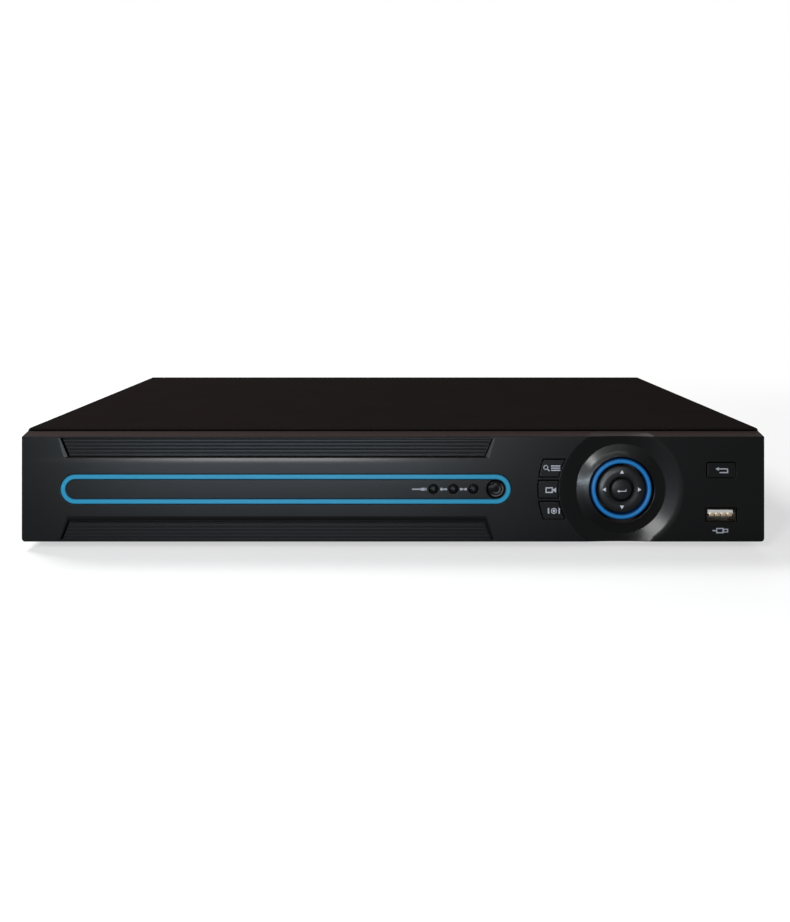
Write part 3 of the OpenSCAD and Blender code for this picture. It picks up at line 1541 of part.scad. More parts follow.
module drive_casting() {
    color("#8f9295") difference() {
        box(drive_x0, drive_x1, drive_y0, drive_y0 + drive_w, drive_z, drive_top);
        bar_z(platter_x, drive_y, drive_w / 2 - drive_wall, well_floor, drive_top + over);
        box(pocket_x0, drive_x1 - drive_end, drive_y - pocket_half, drive_y + pocket_half, well_floor,
            drive_top + over);
        box(drive_x0 + drive_end, drive_x1 - drive_wall, drive_y - tub_half, drive_y + tub_half,
            drive_z - over, drive_z + drive_board_d);
        for (p = drive_holes) bar_z(p[0], p[1], screw_r + bite_gap, drive_z - over, drive_z + drive_bite);
    }
    color("#8f9295") {
        bar_z(platter_x, drive_y, spindle_r, well_floor - root, post_top);
        bar_z(arm_x, arm_y, arm_pin_r, well_floor - root, post_top);
    }
}
module drive_platter() {
    color("#d5d7d9") difference() {
        union() {
            bar_z(platter_x, drive_y, platter_r, platter_z, platter_z + platter_t);
            bar_z(platter_x, drive_y, platter_hub_r, well_floor + platter_play, post_top - platter_play);
        }
        bar_z(platter_x, drive_y, spindle_r + spindle_gap, well_floor, post_top);
    }
}
// Arms over and under the platter, coil behind the pivot
arm_tip_w = 4;
coil_share = 0.385;
coil_len = arm_room * coil_share;
coil_w = 22;
module drive_actuator() {
    lower = platter_z - arm_gap - arm_t;
    upper = platter_z + platter_t + arm_gap;
    color("#b4b7ba") translate([arm_x, arm_y, 0]) rotate([0, 0, arm_rest]) difference() {
        union() {
            bar_z(0, 0, arm_r, lower, upper + arm_t);
            for (z = [lower, upper]) translate([0, 0, z]) linear_extrude(arm_t) {
                polygon([[0, -arm_r], [arm_len, -arm_tip_w / 2], [arm_len, arm_tip_w / 2], [0, arm_r]]);
            }
            translate([0, 0, lower + arm_t]) linear_extrude(2 * arm_t) {
                polygon([[0, -arm_r], [0, arm_r], [-coil_len, coil_w / 2], [-coil_len, -coil_w / 2]]);
            }
        }
        bar_z(0, 0, arm_pin_r + spindle_gap, lower - over, upper + arm_t + over);
    }
}
module drive_lid() {
    color("#a3a6a8") difference() {
        box(drive_x0, drive_x1, drive_y0, drive_y0 + drive_w, drive_top, drive_top + lid_t);
        bar_z(platter_x, drive_y, platter_hub_r, drive_top + lid_t / 2, drive_top + lid_t + over);
    }
}
module drive_board() {
    color("#1c4e6b") box(drive_x0 + drive_end + bite_gap, drive_x1 - drive_wall - bite_gap,
                         drive_y - tub_half + bite_gap, drive_y + tub_half - bite_gap,
                         drive_z + drive_board_d - drive_board_t, drive_z + drive_board_d);
}

// Drive leads: data strip and power bundle, plugs at both ends
lead_h = 8;
lead_up = 1.5;
lead_z = main_top + lead_up;
power_lead_y = drive_y - plug_w;
data_lead_y = drive_y + 2.5 * plug_w;
data_lead_t = 1.4;
power_lead_t = 2;
module flat_lead(y, t, turn_x) {
    translate([0, 0, lead_z]) linear_extrude(lead_h) {
        translate([drive_x1 + plug_len - root, y - t / 2]) {
            square([turn_x - lead_bend - drive_x1 - plug_len + root, t]);
        }
        translate([turn_x - lead_bend, y + lead_bend]) intersection() {
            difference() {
                circle(lead_bend + t / 2);
                circle(lead_bend - t / 2);
            }
            translate([0, -lead_bend - t]) square(lead_bend + t);
        }
        translate([turn_x - t / 2, y + lead_bend]) square([t, main_y0 + plug_w / 2 - y - lead_bend]);
    }
    box(drive_x1, drive_x1 + plug_len, y - plug_w / 2, y + plug_w / 2, lead_z - plug_rim,
        lead_z + lead_h + plug_rim);
    translate([turn_x - plug_w / 2, main_y0 + plug_rim, main_top]) {
        cube([plug_w, plug_len, lead_z + lead_h + plug_rim - main_top]);
    }
}
module drive_leads() {
    color("#7d2f2b") {
        flat_lead(data_lead_y, data_lead_t, lead_x(lead_first));
        flat_lead(power_lead_y, power_lead_t, lead_x(lead_step));
    }
}

// True for the node that is asked for
function on(name) = node == "all" || node == name;
if (on("base_tray")) in_place() base_tray();
if (on("rear_panel")) in_place() rear_panel();
if (on("top_cover")) in_place() top_cover();
if (on("front_bezel")) in_place() front_bezel();
if (on("rubber_feet")) in_place() rubber_feet();
if (on("foot_screws")) in_place() foot_screws();
if (on("cover_screws")) in_place() cover_screws();
if (on("inner_screws")) in_place() inner_screws();
if (on("upper_grille")) in_place() upper_grille();
if (on("lower_grille")) in_place() lower_grille();
if (on("light_strip")) in_place() light_strip();
if (on("ring_light")) in_place() ring_light();
if (on("status_lenses")) in_place() status_lenses();
if (on("ir_window")) in_place() ir_window();
if (on("upper_key")) in_place() upper_key();
if (on("middle_key")) in_place() middle_key();
if (on("lower_key")) in_place() lower_key();
if (on("back_key")) in_place() back_key();
if (on("enter_button")) in_place() enter_button();
if (on("rocker_ring")) in_place() rocker_ring();
if (on("rocker_gimbal")) in_place() rocker_gimbal();
if (on("front_board")) in_place() front_board();
if (on("push_switches")) in_place() push_switches();
if (on("status_lamps")) in_place() status_lamps();
if (on("ir_receiver")) in_place() ir_receiver();
if (on("front_data_shell")) in_place() front_data_shell();
if (on("front_data_tongue")) in_place() front_data_tongue();
if (on("ribbon_cable")) in_place() ribbon_cable();
if (on("main_board")) in_place() main_board();
if (on("board_standoffs")) in_place() board_standoffs();
if (on("processor")) in_place() processor();
if (on("heat_sink")) in_place() heat_sink();
if (on("board_chips")) in_place() board_chips();
if (on("capacitors")) in_place() capacitors();
if (on("cell_holder")) in_place() cell_holder();
if (on("clock_cell")) in_place() clock_cell();
if (on("video_housing")) in_place() video_housing();
if (on("video_barrels")) in_place() video_barrels();
if (on("rear_contacts")) in_place() rear_contacts();
if (on("audio_housing")) in_place() audio_housing();
if (on("audio_barrels")) in_place() audio_barrels();
if (on("monitor_shell")) in_place() monitor_shell();
if (on("monitor_insert")) in_place() monitor_insert();
if (on("jack_posts")) in_place() jack_posts();
if (on("network_jack")) in_place() network_jack();
if (on("rear_data_shell")) in_place() rear_data_shell();
if (on("rear_data_tongue")) in_place() rear_data_tongue();
if (on("terminal_block")) in_place() terminal_block();
if (on("power_inlet")) in_place() power_inlet();
if (on("switch_housing")) in_place() switch_housing();
if (on("power_rocker")) in_place() power_rocker();
if (on("fan_frame")) in_place() fan_frame();
if (on("fan_rotor")) in_place() fan_rotor();
if (on("fan_screws")) in_place() fan_screws();
if (on("drive_casting")) in_place() drive_casting();
if (on("drive_lid")) in_place() drive_lid();
if (on("drive_board")) in_place() drive_board();
if (on("drive_platter")) in_place() drive_platter();
if (on("drive_actuator")) in_place() drive_actuator();
if (on("drive_leads")) in_place() drive_leads();
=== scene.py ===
"""Looks of the video recorder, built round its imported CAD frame."""

import json
import math

import bpy
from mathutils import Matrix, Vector


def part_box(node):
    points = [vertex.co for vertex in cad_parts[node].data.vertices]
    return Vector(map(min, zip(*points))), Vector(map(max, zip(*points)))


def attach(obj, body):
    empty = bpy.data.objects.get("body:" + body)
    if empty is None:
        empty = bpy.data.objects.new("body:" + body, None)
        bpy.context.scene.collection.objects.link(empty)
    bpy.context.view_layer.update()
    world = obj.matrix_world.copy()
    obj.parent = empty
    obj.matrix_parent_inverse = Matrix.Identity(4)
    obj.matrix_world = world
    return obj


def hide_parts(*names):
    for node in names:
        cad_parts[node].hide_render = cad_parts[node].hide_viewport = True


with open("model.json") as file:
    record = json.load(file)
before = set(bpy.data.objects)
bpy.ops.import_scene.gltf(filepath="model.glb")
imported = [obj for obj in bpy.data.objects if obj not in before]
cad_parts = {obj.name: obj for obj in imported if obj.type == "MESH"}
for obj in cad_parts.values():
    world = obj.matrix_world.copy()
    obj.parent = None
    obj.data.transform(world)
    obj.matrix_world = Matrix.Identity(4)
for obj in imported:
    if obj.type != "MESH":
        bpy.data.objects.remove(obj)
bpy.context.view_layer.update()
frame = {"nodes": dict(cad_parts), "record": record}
nodes = frame["nodes"]
slot_of = {part["node"]: part["material_slot"] for part in frame["record"]["subparts"]}
scene = bpy.context.scene
MM = 0.001


def middle(node):
    """Middle of a CAD node's box."""
    low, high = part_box(node)
    return (low + high) / 2


FACE_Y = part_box("light_strip")[0].y
DIAL = middle("ring_light")
DIAL.y = FACE_Y
LENS_XS = [DIAL.x + offset * MM for offset in (-64.8, -73.55, -82.3)]
STRIP_W = 2.3 * MM
# Zones about the dial's middle, radii in millimetres: rocker ring, ring light, collar and dish
ROCKER_R, RING_R, COLLAR_R, DISH_R = 11.0, 15.5, 20.0, 27.3


def depth_of(y):
    """Millimetres behind the face."""
    return (y - FACE_Y) / MM


def behind(point, depth):
    """Point moved back from the front, depth in millimetres."""
    return point + Vector((0, depth * MM, 0))


# ---------------------------------------------------------------- materials
class Flow:
    """An output socket of a node, which takes part in Python sums."""

    def __init__(self, owner, socket):
        self.owner = owner
        self.socket = socket

    def math(self, operation, *values):
        return self.owner.node("ShaderNodeMath", {"operation": operation}, dict(enumerate(values)))

    def __add__(self, other):
        return self.math("ADD", self, other)

    def __sub__(self, other):
        return self.math("SUBTRACT", self, other)

    def __rsub__(self, other):
        return self.math("SUBTRACT", other, self)

    def __mul__(self, other):
        return self.math("MULTIPLY", self, other)

    __radd__ = __add__
    __rmul__ = __mul__

    def __abs__(self):
        return self.math("ABSOLUTE", self)

    def root(self):
        return self.math("SQRT", self)

    def above(self, low):
        return self.math("MAXIMUM", self, low)

    def step(self, low, high):
        """0 below low and 1 above high, with a smooth rise between them."""
        ramp = {"Value": self, "From Min": low, "From Max": high}
        return self.owner.node("ShaderNodeMapRange", {"interpolation_type": "SMOOTHSTEP"}, ramp)

    def band(self, rise, full, fade, end):
        """1 from full to fade, and 0 before rise and after end."""
        return self.step(rise, full) * (1 - self.step(fade, end))


class Nodes:
    """A node tree whose nodes are made one by one."""

    def __init__(self, tree):
        self.tree = tree

    def node(self, kind, settings=None, values=None, output=0):
        made = self.tree.nodes.new(kind)
        for key, value in (settings or {}).items():
            setattr(made, key, value)
        for key, value in (values or {}).items():
            self.feed(made.inputs[key], value)
        return Flow(self, made.outputs[output])

    def feed(self, socket, value):
        if isinstance(value, Flow):
            self.tree.links.new(value.socket, socket)
        else:
            socket.default_value = value

    def seen(self):
        """1 for rays from the camera, a gloss or a clear piece, and 0 for the rest."""
        rays = [self.node("ShaderNodeLightPath", output="Is %s Ray" % kind)
                for kind in ("Camera", "Glossy", "Transmission")]
        return rays[0] + rays[1] + rays[2]


class Finish(Nodes):
    """A Principled material, patterned on Object coordinates."""

    def __init__(self, name, **fixed):
        self.material = bpy.data.materials.new(name)
        self.material.use_nodes = True
        super().__init__(self.material.node_tree)
        self.shader = self.tree.nodes["Principled BSDF"]
        for key, value in fixed.items():
            self.shader.inputs[key.replace("_", " ")].default_value = value

    def give(self, key, value):
        self.feed(self.shader.inputs[key], value)

    def place(self, stretch=(1, 1, 1)):
        where = self.node("ShaderNodeTexCoord", output="Object")
        return self.node("ShaderNodeMapping", None, {"Vector": where, "Scale": stretch})

    def axis(self, name, source="Object"):
        where = self.node("ShaderNodeTexCoord", output=source)
        return self.node("ShaderNodeSeparateXYZ", None, {"Vector": where}, name)

    def apart(self, x, z):
        """Distance from a line along Y."""
        across = self.axis("X") - x
        up = self.axis("Z") - z
        return (across * across + up * up).root()

    def in_dial(self, radius, soft):
        """1 within a radius of the dial's middle and 0 outside it, both in millimetres."""
        return 1 - self.apart(DIAL.x, DIAL.z).step((radius - soft) * MM, radius * MM)

    def up_left_of(self, point):
        """Way from a point to the upper left: the rise less the way to the right."""
        return self.axis("Z") - self.axis("X") - (point.z - point.x)

    def noise(self, scale, detail=3.0, stretch=(1, 1, 1)):
        return self.node("ShaderNodeTexNoise", None,
                         {"Vector": self.place(stretch), "Scale": scale, "Detail": detail})

    def blend(self, amount, first, second):
        """Colour between two others."""
        return self.node("ShaderNodeMix", {"data_type": "RGBA"},
                         {0: amount, 6: first, 7: second}, 2)

    def bump(self, height, strength, distance):
        self.give("Normal", self.node(
            "ShaderNodeBump", None, {"Height": height, "Strength": strength, "Distance": distance}))


def shade(colour, gain=1.0):
    """Linear colour with its brightness multiplied."""
    return (*[min(1.0, part * gain) for part in colour], 1.0)


BROAD = 40.0
ROUGH_SPREAD = 0.12
colour_of = {row["slot"]: row["base_color"] for row in frame["record"]["materials"]}
colour_of.update({
    "bezel_plastic": (0.0008, 0.0009, 0.001),
    "trim_plastic": (0.0016, 0.0017, 0.002),
    "key_plastic": (0.0012, 0.0013, 0.0015),
    "cover_paint": (0.011, 0.0088, 0.0082),
    "dark_lens": (0.002, 0.002, 0.0024),
    "light_lens": (0.004, 0.074, 0.125),
    "mark_print": (0.13, 0.133, 0.152),
    "tongue_plastic": (0.235, 0.23, 0.22),
    "contact_gold": (0.3, 0.24, 0.17),
})
# Second colours of the finishes that change over a piece, painted light and shade among them
# On the next line, the second colour is a painted highlight, for the line of sheen under the upper
# trim.
BEZEL_TOP, BEZEL_PAINTED_SHEEN = (0.0155, 0.0098, 0.009), (0.023, 0.0205, 0.019)
# Ring and strip: painted shade along the edges and painted light along the middle, in colour and in
# glow.
RING_EDGE_PAINTED_SHADE, RING_CORE_PAINTED_LIGHT = (0.001, 0.013, 0.043), (0.005, 0.058, 0.152)
RING_EDGE_PAINTED_SHADE_GLOW, RING_CORE_PAINTED_GLOW = (0.0003, 0.004, 0.018), (0.0012, 0.029, 0.073)
STRIP_EDGE_PAINTED_SHADE, STRIP_EDGE_PAINTED_SHADE_GLOW = (0.002, 0.03, 0.052), (0.001, 0.02, 0.035)
STRIP_DEEP_PAINTED_GLOW, STRIP_PALE_PAINTED_GLOW = (0.002, 0.055, 0.092), (0.003, 0.064, 0.105)
# On the next line, the second colour is a painted glint for the receiver window.
LAMP_END, RECEIVER_PAINTED_GLINT = (0.016, 0.0165, 0.018), (0.04, 0.042, 0.04)
DIAL_KEY = (0.0027, 0.0028, 0.0032)
DIM_PRINT, DIAL_PRINT = (0.095, 0.099, 0.115), (0.22, 0.225, 0.245)
# On the next line, the second colour is bronze tint with painted light, for the shaded inside of
# the front socket.
SOCKET_MOUTH, SOCKET_BRONZE_AND_PAINTED_LIGHT = (0.012, 0.009, 0.007), (0.2, 0.13, 0.07)
# On the next line, the second colour is painted shade for the front board behind the dial.
SOLDER_PAD, BOARD_PAINTED_SHADE = (0.55, 0.52, 0.4), (0.002, 0.002, 0.002)
finishes = {}


def surface(slot, rough, vary=0.12, grain=1500.0, bump=0.1, lift=0.03, stretch=(1, 1, 1), **fixed):
    """Plain finish: broad changes of colour, and a fine grain in roughness and bump."""
    finish = Finish(slot, **fixed)
    fine = finish.noise(grain, 2.0, stretch)
    broad = finish.noise(BROAD, 4.0)
    colour = colour_of[slot]
    finish.tone = finish.blend(broad, shade(colour, 1 - vary), shade(colour, 1 + vary))
    finish.gloss = rough + ROUGH_SPREAD * (0.5 * fine + 0.5 * broad - 0.5)
    finish.give("Base Color", finish.tone)
    finish.give("Roughness", finish.gloss)
    finish.bump(fine, bump, lift * MM)
    finishes[slot] = finish
    return finish


def metal(slot, rough, **more):
    return surface(slot, rough, vary=0.06, Metallic=1.0, **more)


# Sheet steel and screws
surface("tray_steel", 0.42, grain=1100, bump=0.15)
surface("rear_paint", 0.5, grain=1300, bump=0.3)
metal("bright_screws", 0.3, grain=2500)
surface("black_screws", 0.35, grain=2500)
metal("standoff_brass", 0.3, stretch=(1, 1, 40), grain=300)
metal("cell_steel", 0.25, stretch=(20, 1, 1), grain=400)
metal("contact_gold", 0.35, grain=2200, bump=0.05)
metal("platter_bright", 0.08, grain=900, bump=0.01)
metal("drive_cast", 0.5, grain=1400, bump=0.4)
metal("drive_sheet", 0.38, stretch=(1, 30, 1), grain=300)
metal("sink_black", 0.45, stretch=(1, 1, 20), grain=300)
metal("can_sleeve", 0.4, grain=800)
# Mouldings
surface("gimbal_plastic", 0.45)
surface("foot_rubber", 0.8, grain=2200, bump=0.4, Specular_IOR_Level=0.25)
surface("switch_grey", 0.5)
surface("lamp_lens", 0.15, grain=700, bump=0.02, Transmission_Weight=0.4)
surface("receiver_dark", 0.12, bump=0.02)
surface("tongue_plastic", 0.4, vary=0.05)
surface("cable_grey", 0.5, stretch=(1.2, 0.02, 0.02), grain=800, bump=0.6, lift=0.2)
surface("chip_black", 0.5, grain=2600, bump=0.25)
surface("holder_black", 0.5)
surface("housing_black", 0.42, grain=2000, bump=0.12)
surface("audio_white", 0.4, vary=0.05)
surface("insert_blue", 0.4, vary=0.08)
surface("terminal_green", 0.42, vary=0.08)
surface("lead_red", 0.45, vary=0.1)


def cover_finish():
    """Dull dark brown paint, with painted shade that halves its colour on the edge facing the
    front.
    """
    finish = surface("cover_paint", 0.8, grain=1300, bump=0.3, Specular_IOR_Level=0.0)
    # Painted shade on the edge that faces the front.
    front_edge_for_shade = (-1 * finish.axis("Y", "Normal")).step(0.2, 0.8)
    painted_shade = shade(colour_of["cover_paint"], 0.5)
    finish.give("Base Color", finish.blend(front_edge_for_shade, finish.tone, painted_shade))


def bezel_finish():
    """Satin moulding with glossier zones in the dial's dish.

    Its sloping top is matt and warmer, the edge over the upper trim is less glossy than the face,
    and a painted highlight, a metallic and lighter line of sheen, runs under that trim.
    """
    face, dish, collar, top, brow = 0.3, 0.15, 0.22, 0.95, 0.55
    finish = surface("bezel_plastic", face, vary=0.1, grain=2600, bump=0.05,
                     Specular_IOR_Level=0.075, Coat_Roughness=0.3)
    across, up = finish.axis("X"), finish.axis("Z")
    in_dish = finish.in_dial(DISH_R, 0.4)
    on_collar = finish.in_dial(COLLAR_R, 1.0)
    on_top = finish.axis("Z", "Normal").step(0.8, 0.95)
    low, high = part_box("upper_grille")
    soft = 0.5 * MM
    on_brow = (up.step(high.z - 0.1 * MM, high.z)
               * across.band(low.x, low.x + soft, high.x - soft, high.x))
    finish.give("Roughness", finish.gloss + (dish - face) * in_dish + (collar - dish) * on_collar
                + (top - face) * on_top + (brow - face) * on_brow * (1 - on_top))

    upper_left = finish.up_left_of(DIAL).step(-4 * MM, 20 * MM)
    to_right = across.step(DIAL.x, DIAL.x + 20 * MM)
    finish.give("Coat Weight", 0.2 * on_collar * upper_left
                + 0.1 * (in_dish - on_collar) * to_right)

    # Painted highlight: a metallic, lighter line of sheen under the upper trim.
    recess_edge = low.z - 0.95 * MM
    sheen = (up.band(recess_edge - 3.0 * MM, recess_edge - 0.7 * MM,
                     recess_edge, recess_edge + 0.2 * MM)
             * across.band(-0.17, -0.075, -0.035, 0.045))
    finish.give("Metallic", sheen)
    lined = finish.blend(sheen, finish.tone, shade(BEZEL_PAINTED_SHEEN))
    finish.give("Base Color", finish.blend(on_top, lined, shade(BEZEL_TOP)))


def glow_finish():
    """Blue lens, deeper in the ring round the dial: painted glow, painted shade along its edges."""
    finish = surface("light_lens", 0.35, vary=0.06, grain=1200, bump=0.03, Emission_Strength=1.0,
                     Specular_IOR_Level=0.08)
    in_ring = finish.in_dial(RING_R, 1.0)
    # Painted shade and light across the ring: its sides dim, its middle bright.
    painted_light_core = finish.apart(DIAL.x, DIAL.z).band(11.1 * MM, 11.9 * MM, 12.5 * MM, 13.3 * MM)
    ring = finish.blend(painted_light_core, shade(RING_EDGE_PAINTED_SHADE), shade(RING_CORE_PAINTED_LIGHT))
    ring_painted_glow = finish.blend(painted_light_core, shade(RING_EDGE_PAINTED_SHADE_GLOW), shade(RING_CORE_PAINTED_GLOW))

    low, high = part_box("light_strip")
    centre = (low + high) / 2
    bend = (high.z - low.z) / 2
    straight = (high.x - low.x) / 2 - bend
    past_end = (abs(finish.axis("X") - centre.x) - straight).above(0.0)
    up = finish.axis("Z") - centre.z
    from_line = abs((past_end * past_end + up * up).root() - (bend - STRIP_W / 2))
    # Painted shade along both edges of the strip.
    painted_edge_shade = from_line.step(0.5 * MM, 1.05 * MM)
    strip = finish.blend(painted_edge_shade, finish.tone, shade(STRIP_EDGE_PAINTED_SHADE))
    # Painted glow: emission, with no lamp behind the lens.
    painted_glow = finish.blend(finish.noise(60.0), shade(STRIP_DEEP_PAINTED_GLOW), shade(STRIP_PALE_PAINTED_GLOW))
    strip_painted_glow = finish.blend(painted_edge_shade, painted_glow, shade(STRIP_EDGE_PAINTED_SHADE_GLOW))
    finish.give("Base Color", finish.blend(in_ring, strip, ring))
    finish.give("Emission Color", finish.blend(in_ring, strip_painted_glow, ring_painted_glow))


def lens_finish():
    """Dark clear plastic: a lamp's end in each status lens, and painted glints on the window's
    rings.
    """
    finish = surface("dark_lens", 0.2, grain=900, bump=0.01, Specular_IOR_Level=0.022)
    dots = [1 - finish.apart(x, DIAL.z).step(0.3 * MM, 0.9 * MM) for x in LENS_XS]
    lamps = finish.blend(dots[0] + dots[1] + dots[2], finish.tone, shade(LAMP_END))
    window = middle("ir_window")
    out = finish.apart(window.x, window.z)
    # Painted glints: the receiver's rings are made lighter only towards the window's lower right.
    rings = [out.band(inner * MM, (inner + 0.3) * MM, (inner + 0.6) * MM, (inner + 0.9) * MM)
             for inner in (1.3, 2.6)]
    glint_side = (-1 * finish.up_left_of(window)).step(-1.0 * MM, 3.0 * MM)
    finish.give("Base Color", finish.blend((rings[0] + rings[1]) * glint_side, lamps,
                                           shade(RECEIVER_PAINTED_GLINT)))


def trim_finish():
    """Satin ribs, matt in the slots between them."""
    crest, slot = 0.36, 0.57
    finish = surface("trim_plastic", crest, grain=2400, bump=0.08, Specular_IOR_Level=0.065)
    in_slot = finish.axis("Y").step(FACE_Y + 0.65 * MM, FACE_Y + 0.85 * MM)
    finish.give("Roughness", finish.gloss + (slot - crest) * in_slot)


def key_finish():
    """Satin key plastic; in the dial it is paler and more matt, with a coat at the upper left."""
    key, dial = 0.29, 0.45
    finish = surface("key_plastic", key, grain=2600, bump=0.06, Specular_IOR_Level=0.08,
                     Coat_Roughness=0.3)
    in_dial = finish.in_dial(ROCKER_R, 0.5)
    upper_left = finish.up_left_of(DIAL).step(2 * MM, 12 * MM)
    finish.give("Roughness", finish.gloss + (dial - key) * in_dial)
    finish.give("Coat Weight", 0.3 * in_dial * upper_left)
    finish.give("Base Color", finish.blend(in_dial, finish.tone, shade(DIAL_KEY)))


def print_finish():
    """Pale grey print, whiter in the dial and dimmer beside the status lenses."""
    finish = surface("mark_print", 0.6, grain=3000)
    in_dial = finish.in_dial(ROCKER_R, 0.5)
    by_lenses = 1 - finish.axis("X").step(DIAL.x - 60 * MM, DIAL.x - 50 * MM)
    dimmer = finish.blend(by_lenses, finish.tone, shade(DIM_PRINT))
    finish.give("Base Color", finish.blend(in_dial, dimmer, shade(DIAL_PRINT)))


def nickel_finish():
    """Plated steel; the socket in the bezel is dark at its mouth, bronze inside as tint and painted
    light.
    """
    finish = metal("socket_nickel", 0.24, grain=2200, bump=0.05)
    along = finish.axis("Y")
    at_front = 1 - along.step(-0.09, -0.08)
    # Painted light: the socket's shaded inside is given a bright bronze.
    inside = along.step(FACE_Y + 0.5 * MM, FACE_Y + 0.65 * MM)
    front = finish.blend(inside, shade(SOCKET_MOUTH), shade(SOCKET_BRONZE_AND_PAINTED_LIGHT))
    finish.give("Base Color", finish.blend(at_front, finish.tone, front))


def board_finish(slot):
    """Solder mask over tracks, with bright pads; painted shade makes the front board black behind
    the dial.
    """
    finish = surface(slot, 0.35, grain=900)
    tracks = finish.node("ShaderNodeTexBrick", {"offset": 0.3},
                         {"Vector": finish.place(), "Scale": 110.0, "Mortar Size": 0.06,
                          "Brick Width": 0.7, "Row Height": 0.16}, "Fac")
    pads = finish.node("ShaderNodeTexVoronoi", None, {"Vector": finish.place(), "Scale": 170.0})
    colour = colour_of[slot]
    lined = finish.blend(tracks, shade(colour), shade(colour, 1.9))
    padded = finish.blend(1 - pads.step(0.1, 0.16), lined, shade(SOLDER_PAD))
    # Painted shade: black where the front board shows through the dial's gaps.
    shade_behind_dial = finish.in_dial(RING_R, 0.5)
    in_front = 1 - finish.axis("Y").step(FACE_Y + 20 * MM, FACE_Y + 21 * MM)
    finish.give("Base Color", finish.blend(shade_behind_dial * in_front, padded, shade(BOARD_PAINTED_SHADE)))


cover_finish()
bezel_finish()
glow_finish()
lens_finish()
trim_finish()
key_finish()
print_finish()
nickel_finish()
board_finish("board_green")
board_finish("drive_board_blue")


def dress(obj, slot):
    """Gives an object the finish of a slot."""
    obj.data.materials.clear()
    obj.data.materials.append(finishes[slot].material)


for name, slot in slot_of.items():
    dress(nodes[name], slot)


# ---------------------------------------------------------------- edges of the CAD pieces
def soften(node, width, segments=3, angle=30):
    """Rounds a CAD piece's edges, width in millimetres, without touching its own mesh."""
    stack = nodes[node].modifiers
    weld = stack.new("weld", "WELD")
    weld.merge_threshold = 0.002 * MM
    flat = stack.new("flat", "DECIMATE")
    flat.decimate_type = "DISSOLVE"
    flat.angle_limit = math.radians(0.05)
    edge = stack.new("edge", "BEVEL")
    edge.width = width * MM
    edge.segments = segments
    edge.limit_method = "ANGLE"
    edge.angle_limit = math.radians(angle)
    edge.use_clamp_overlap = False
    even = stack.new("even", "WEIGHTED_NORMAL")
    even.weight = 80


edge_widths = {
    "front_bezel": 0.25, "top_cover": 0.2, "rear_panel": 0.15, "base_tray": 0.15,
    "upper_grille": 0.12, "lower_grille": 0.12, "light_strip": 0.3, "upper_key": 0.35,
    "middle_key": 0.35, "lower_key": 0.35, "back_key": 0.35, "rubber_feet": 0.5,
    "front_data_shell": 0.08, "front_data_tongue": 0.2, "power_rocker": 0.3,
    "switch_housing": 0.3, "terminal_block": 0.2, "network_jack": 0.2,
}
for name, width in edge_widths.items():
    soften(name, width)


# ---------------------------------------------------------------- modelling
UPRIGHT = (math.pi / 2, 0, 0)
SMOOTH_ANGLE = 35.0


def release():
    """Leaves edit mode and clears the selection."""
    active = bpy.context.view_layer.objects.active
    if active and active.mode != "OBJECT":
        bpy.ops.object.mode_set(mode="OBJECT")
    bpy.ops.object.select_all(action="DESELECT")


def named(name):
    """Names the object that an operator just made, and puts its place into its mesh."""
    obj = bpy.context.view_layer.objects.active
    obj.name = name
    obj.data.name = name
    bpy.ops.object.transform_apply(location=True, rotation=True, scale=True)
    return obj


def pick(obj):
    """Makes an object the only selected one."""
    release()
    obj.select_set(True)
    bpy.context.view_layer.objects.active = obj


def edit():
    bpy.ops.object.mode_set(mode="EDIT")
    bpy.ops.mesh.select_all(action="SELECT")


def drawn(move):
    """Extrudes the selected edges along a vector."""
    bpy.ops.mesh.extrude_edges_move(TRANSFORM_OT_translate={"value": move})


def close_up(angle=SMOOTH_ANGLE):
    """Ends a piece's modelling: merged points, outward faces, smooth between sharp edges."""
    bpy.ops.mesh.select_all(action="SELECT")
    bpy.ops.mesh.remove_doubles(threshold=0.0005 * MM)
    bpy.ops.mesh.normals_make_consistent(inside=False)
    bpy.ops.object.mode_set(mode="OBJECT")
    bpy.ops.object.shade_smooth_by_angle(angle=math.radians(angle))


def finished(obj, kind, **settings):
    """Adds a modifier to a piece and applies it."""
    pick(obj)
    change = obj.modifiers.new(kind.lower(), kind)
    for key, value in settings.items():
        setattr(change, key, value)
    bpy.ops.object.modifier_apply(modifier=change.name)


def fitted(obj, body, slot, *stands_for):
    """Puts a finished piece on its body and gives it its finish."""
    dress(obj, slot)
    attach(obj, body)
    if stands_for:
        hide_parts(*stands_for)


def copied(obj, name, move):
    """Copy of a piece with a mesh of its own, moved by a vector."""
    pick(obj)
    bpy.ops.object.duplicate(linked=False)
    bpy.ops.transform.translate(value=move)
    return named(name)


def joined(name, pieces, place):
    """One piece from several, moved to a place."""
    pick(pieces[0])
    for piece in pieces[1:]:
        piece.select_set(True)
    bpy.ops.object.join()
    obj = named(name)
    obj.location = place
    pick(obj)
    return named(name)


def turned(name, centre, profile, steps=128):
    """Piece turned about Y: a circle drawn along a profile of (radius, depth) in millimetres.

    A profile that starts on the axis gets a flat cap there, and one that ends on it closes in a
    point.
    """
    release()
    capped = profile[0][0] == 0
    (radius, depth), *rest = profile[1:] if capped else profile
    bpy.ops.mesh.primitive_circle_add(
        vertices=steps, radius=radius * MM, rotation=UPRIGHT, location=behind(centre, depth),
        fill_type="NGON" if capped else "NOTHING")
    obj = named(name)
    edit()
    for next_radius, next_depth in rest:
        drawn((0, (next_depth - depth) * MM, 0))
        if next_radius == 0:
            bpy.ops.mesh.merge(type="CENTER")
            break
        scale = next_radius / radius
        bpy.ops.transform.resize(value=(scale, 1, scale),
                                 center_override=behind(centre, next_depth))
        radius, depth = next_radius, next_depth
    close_up()
    return obj


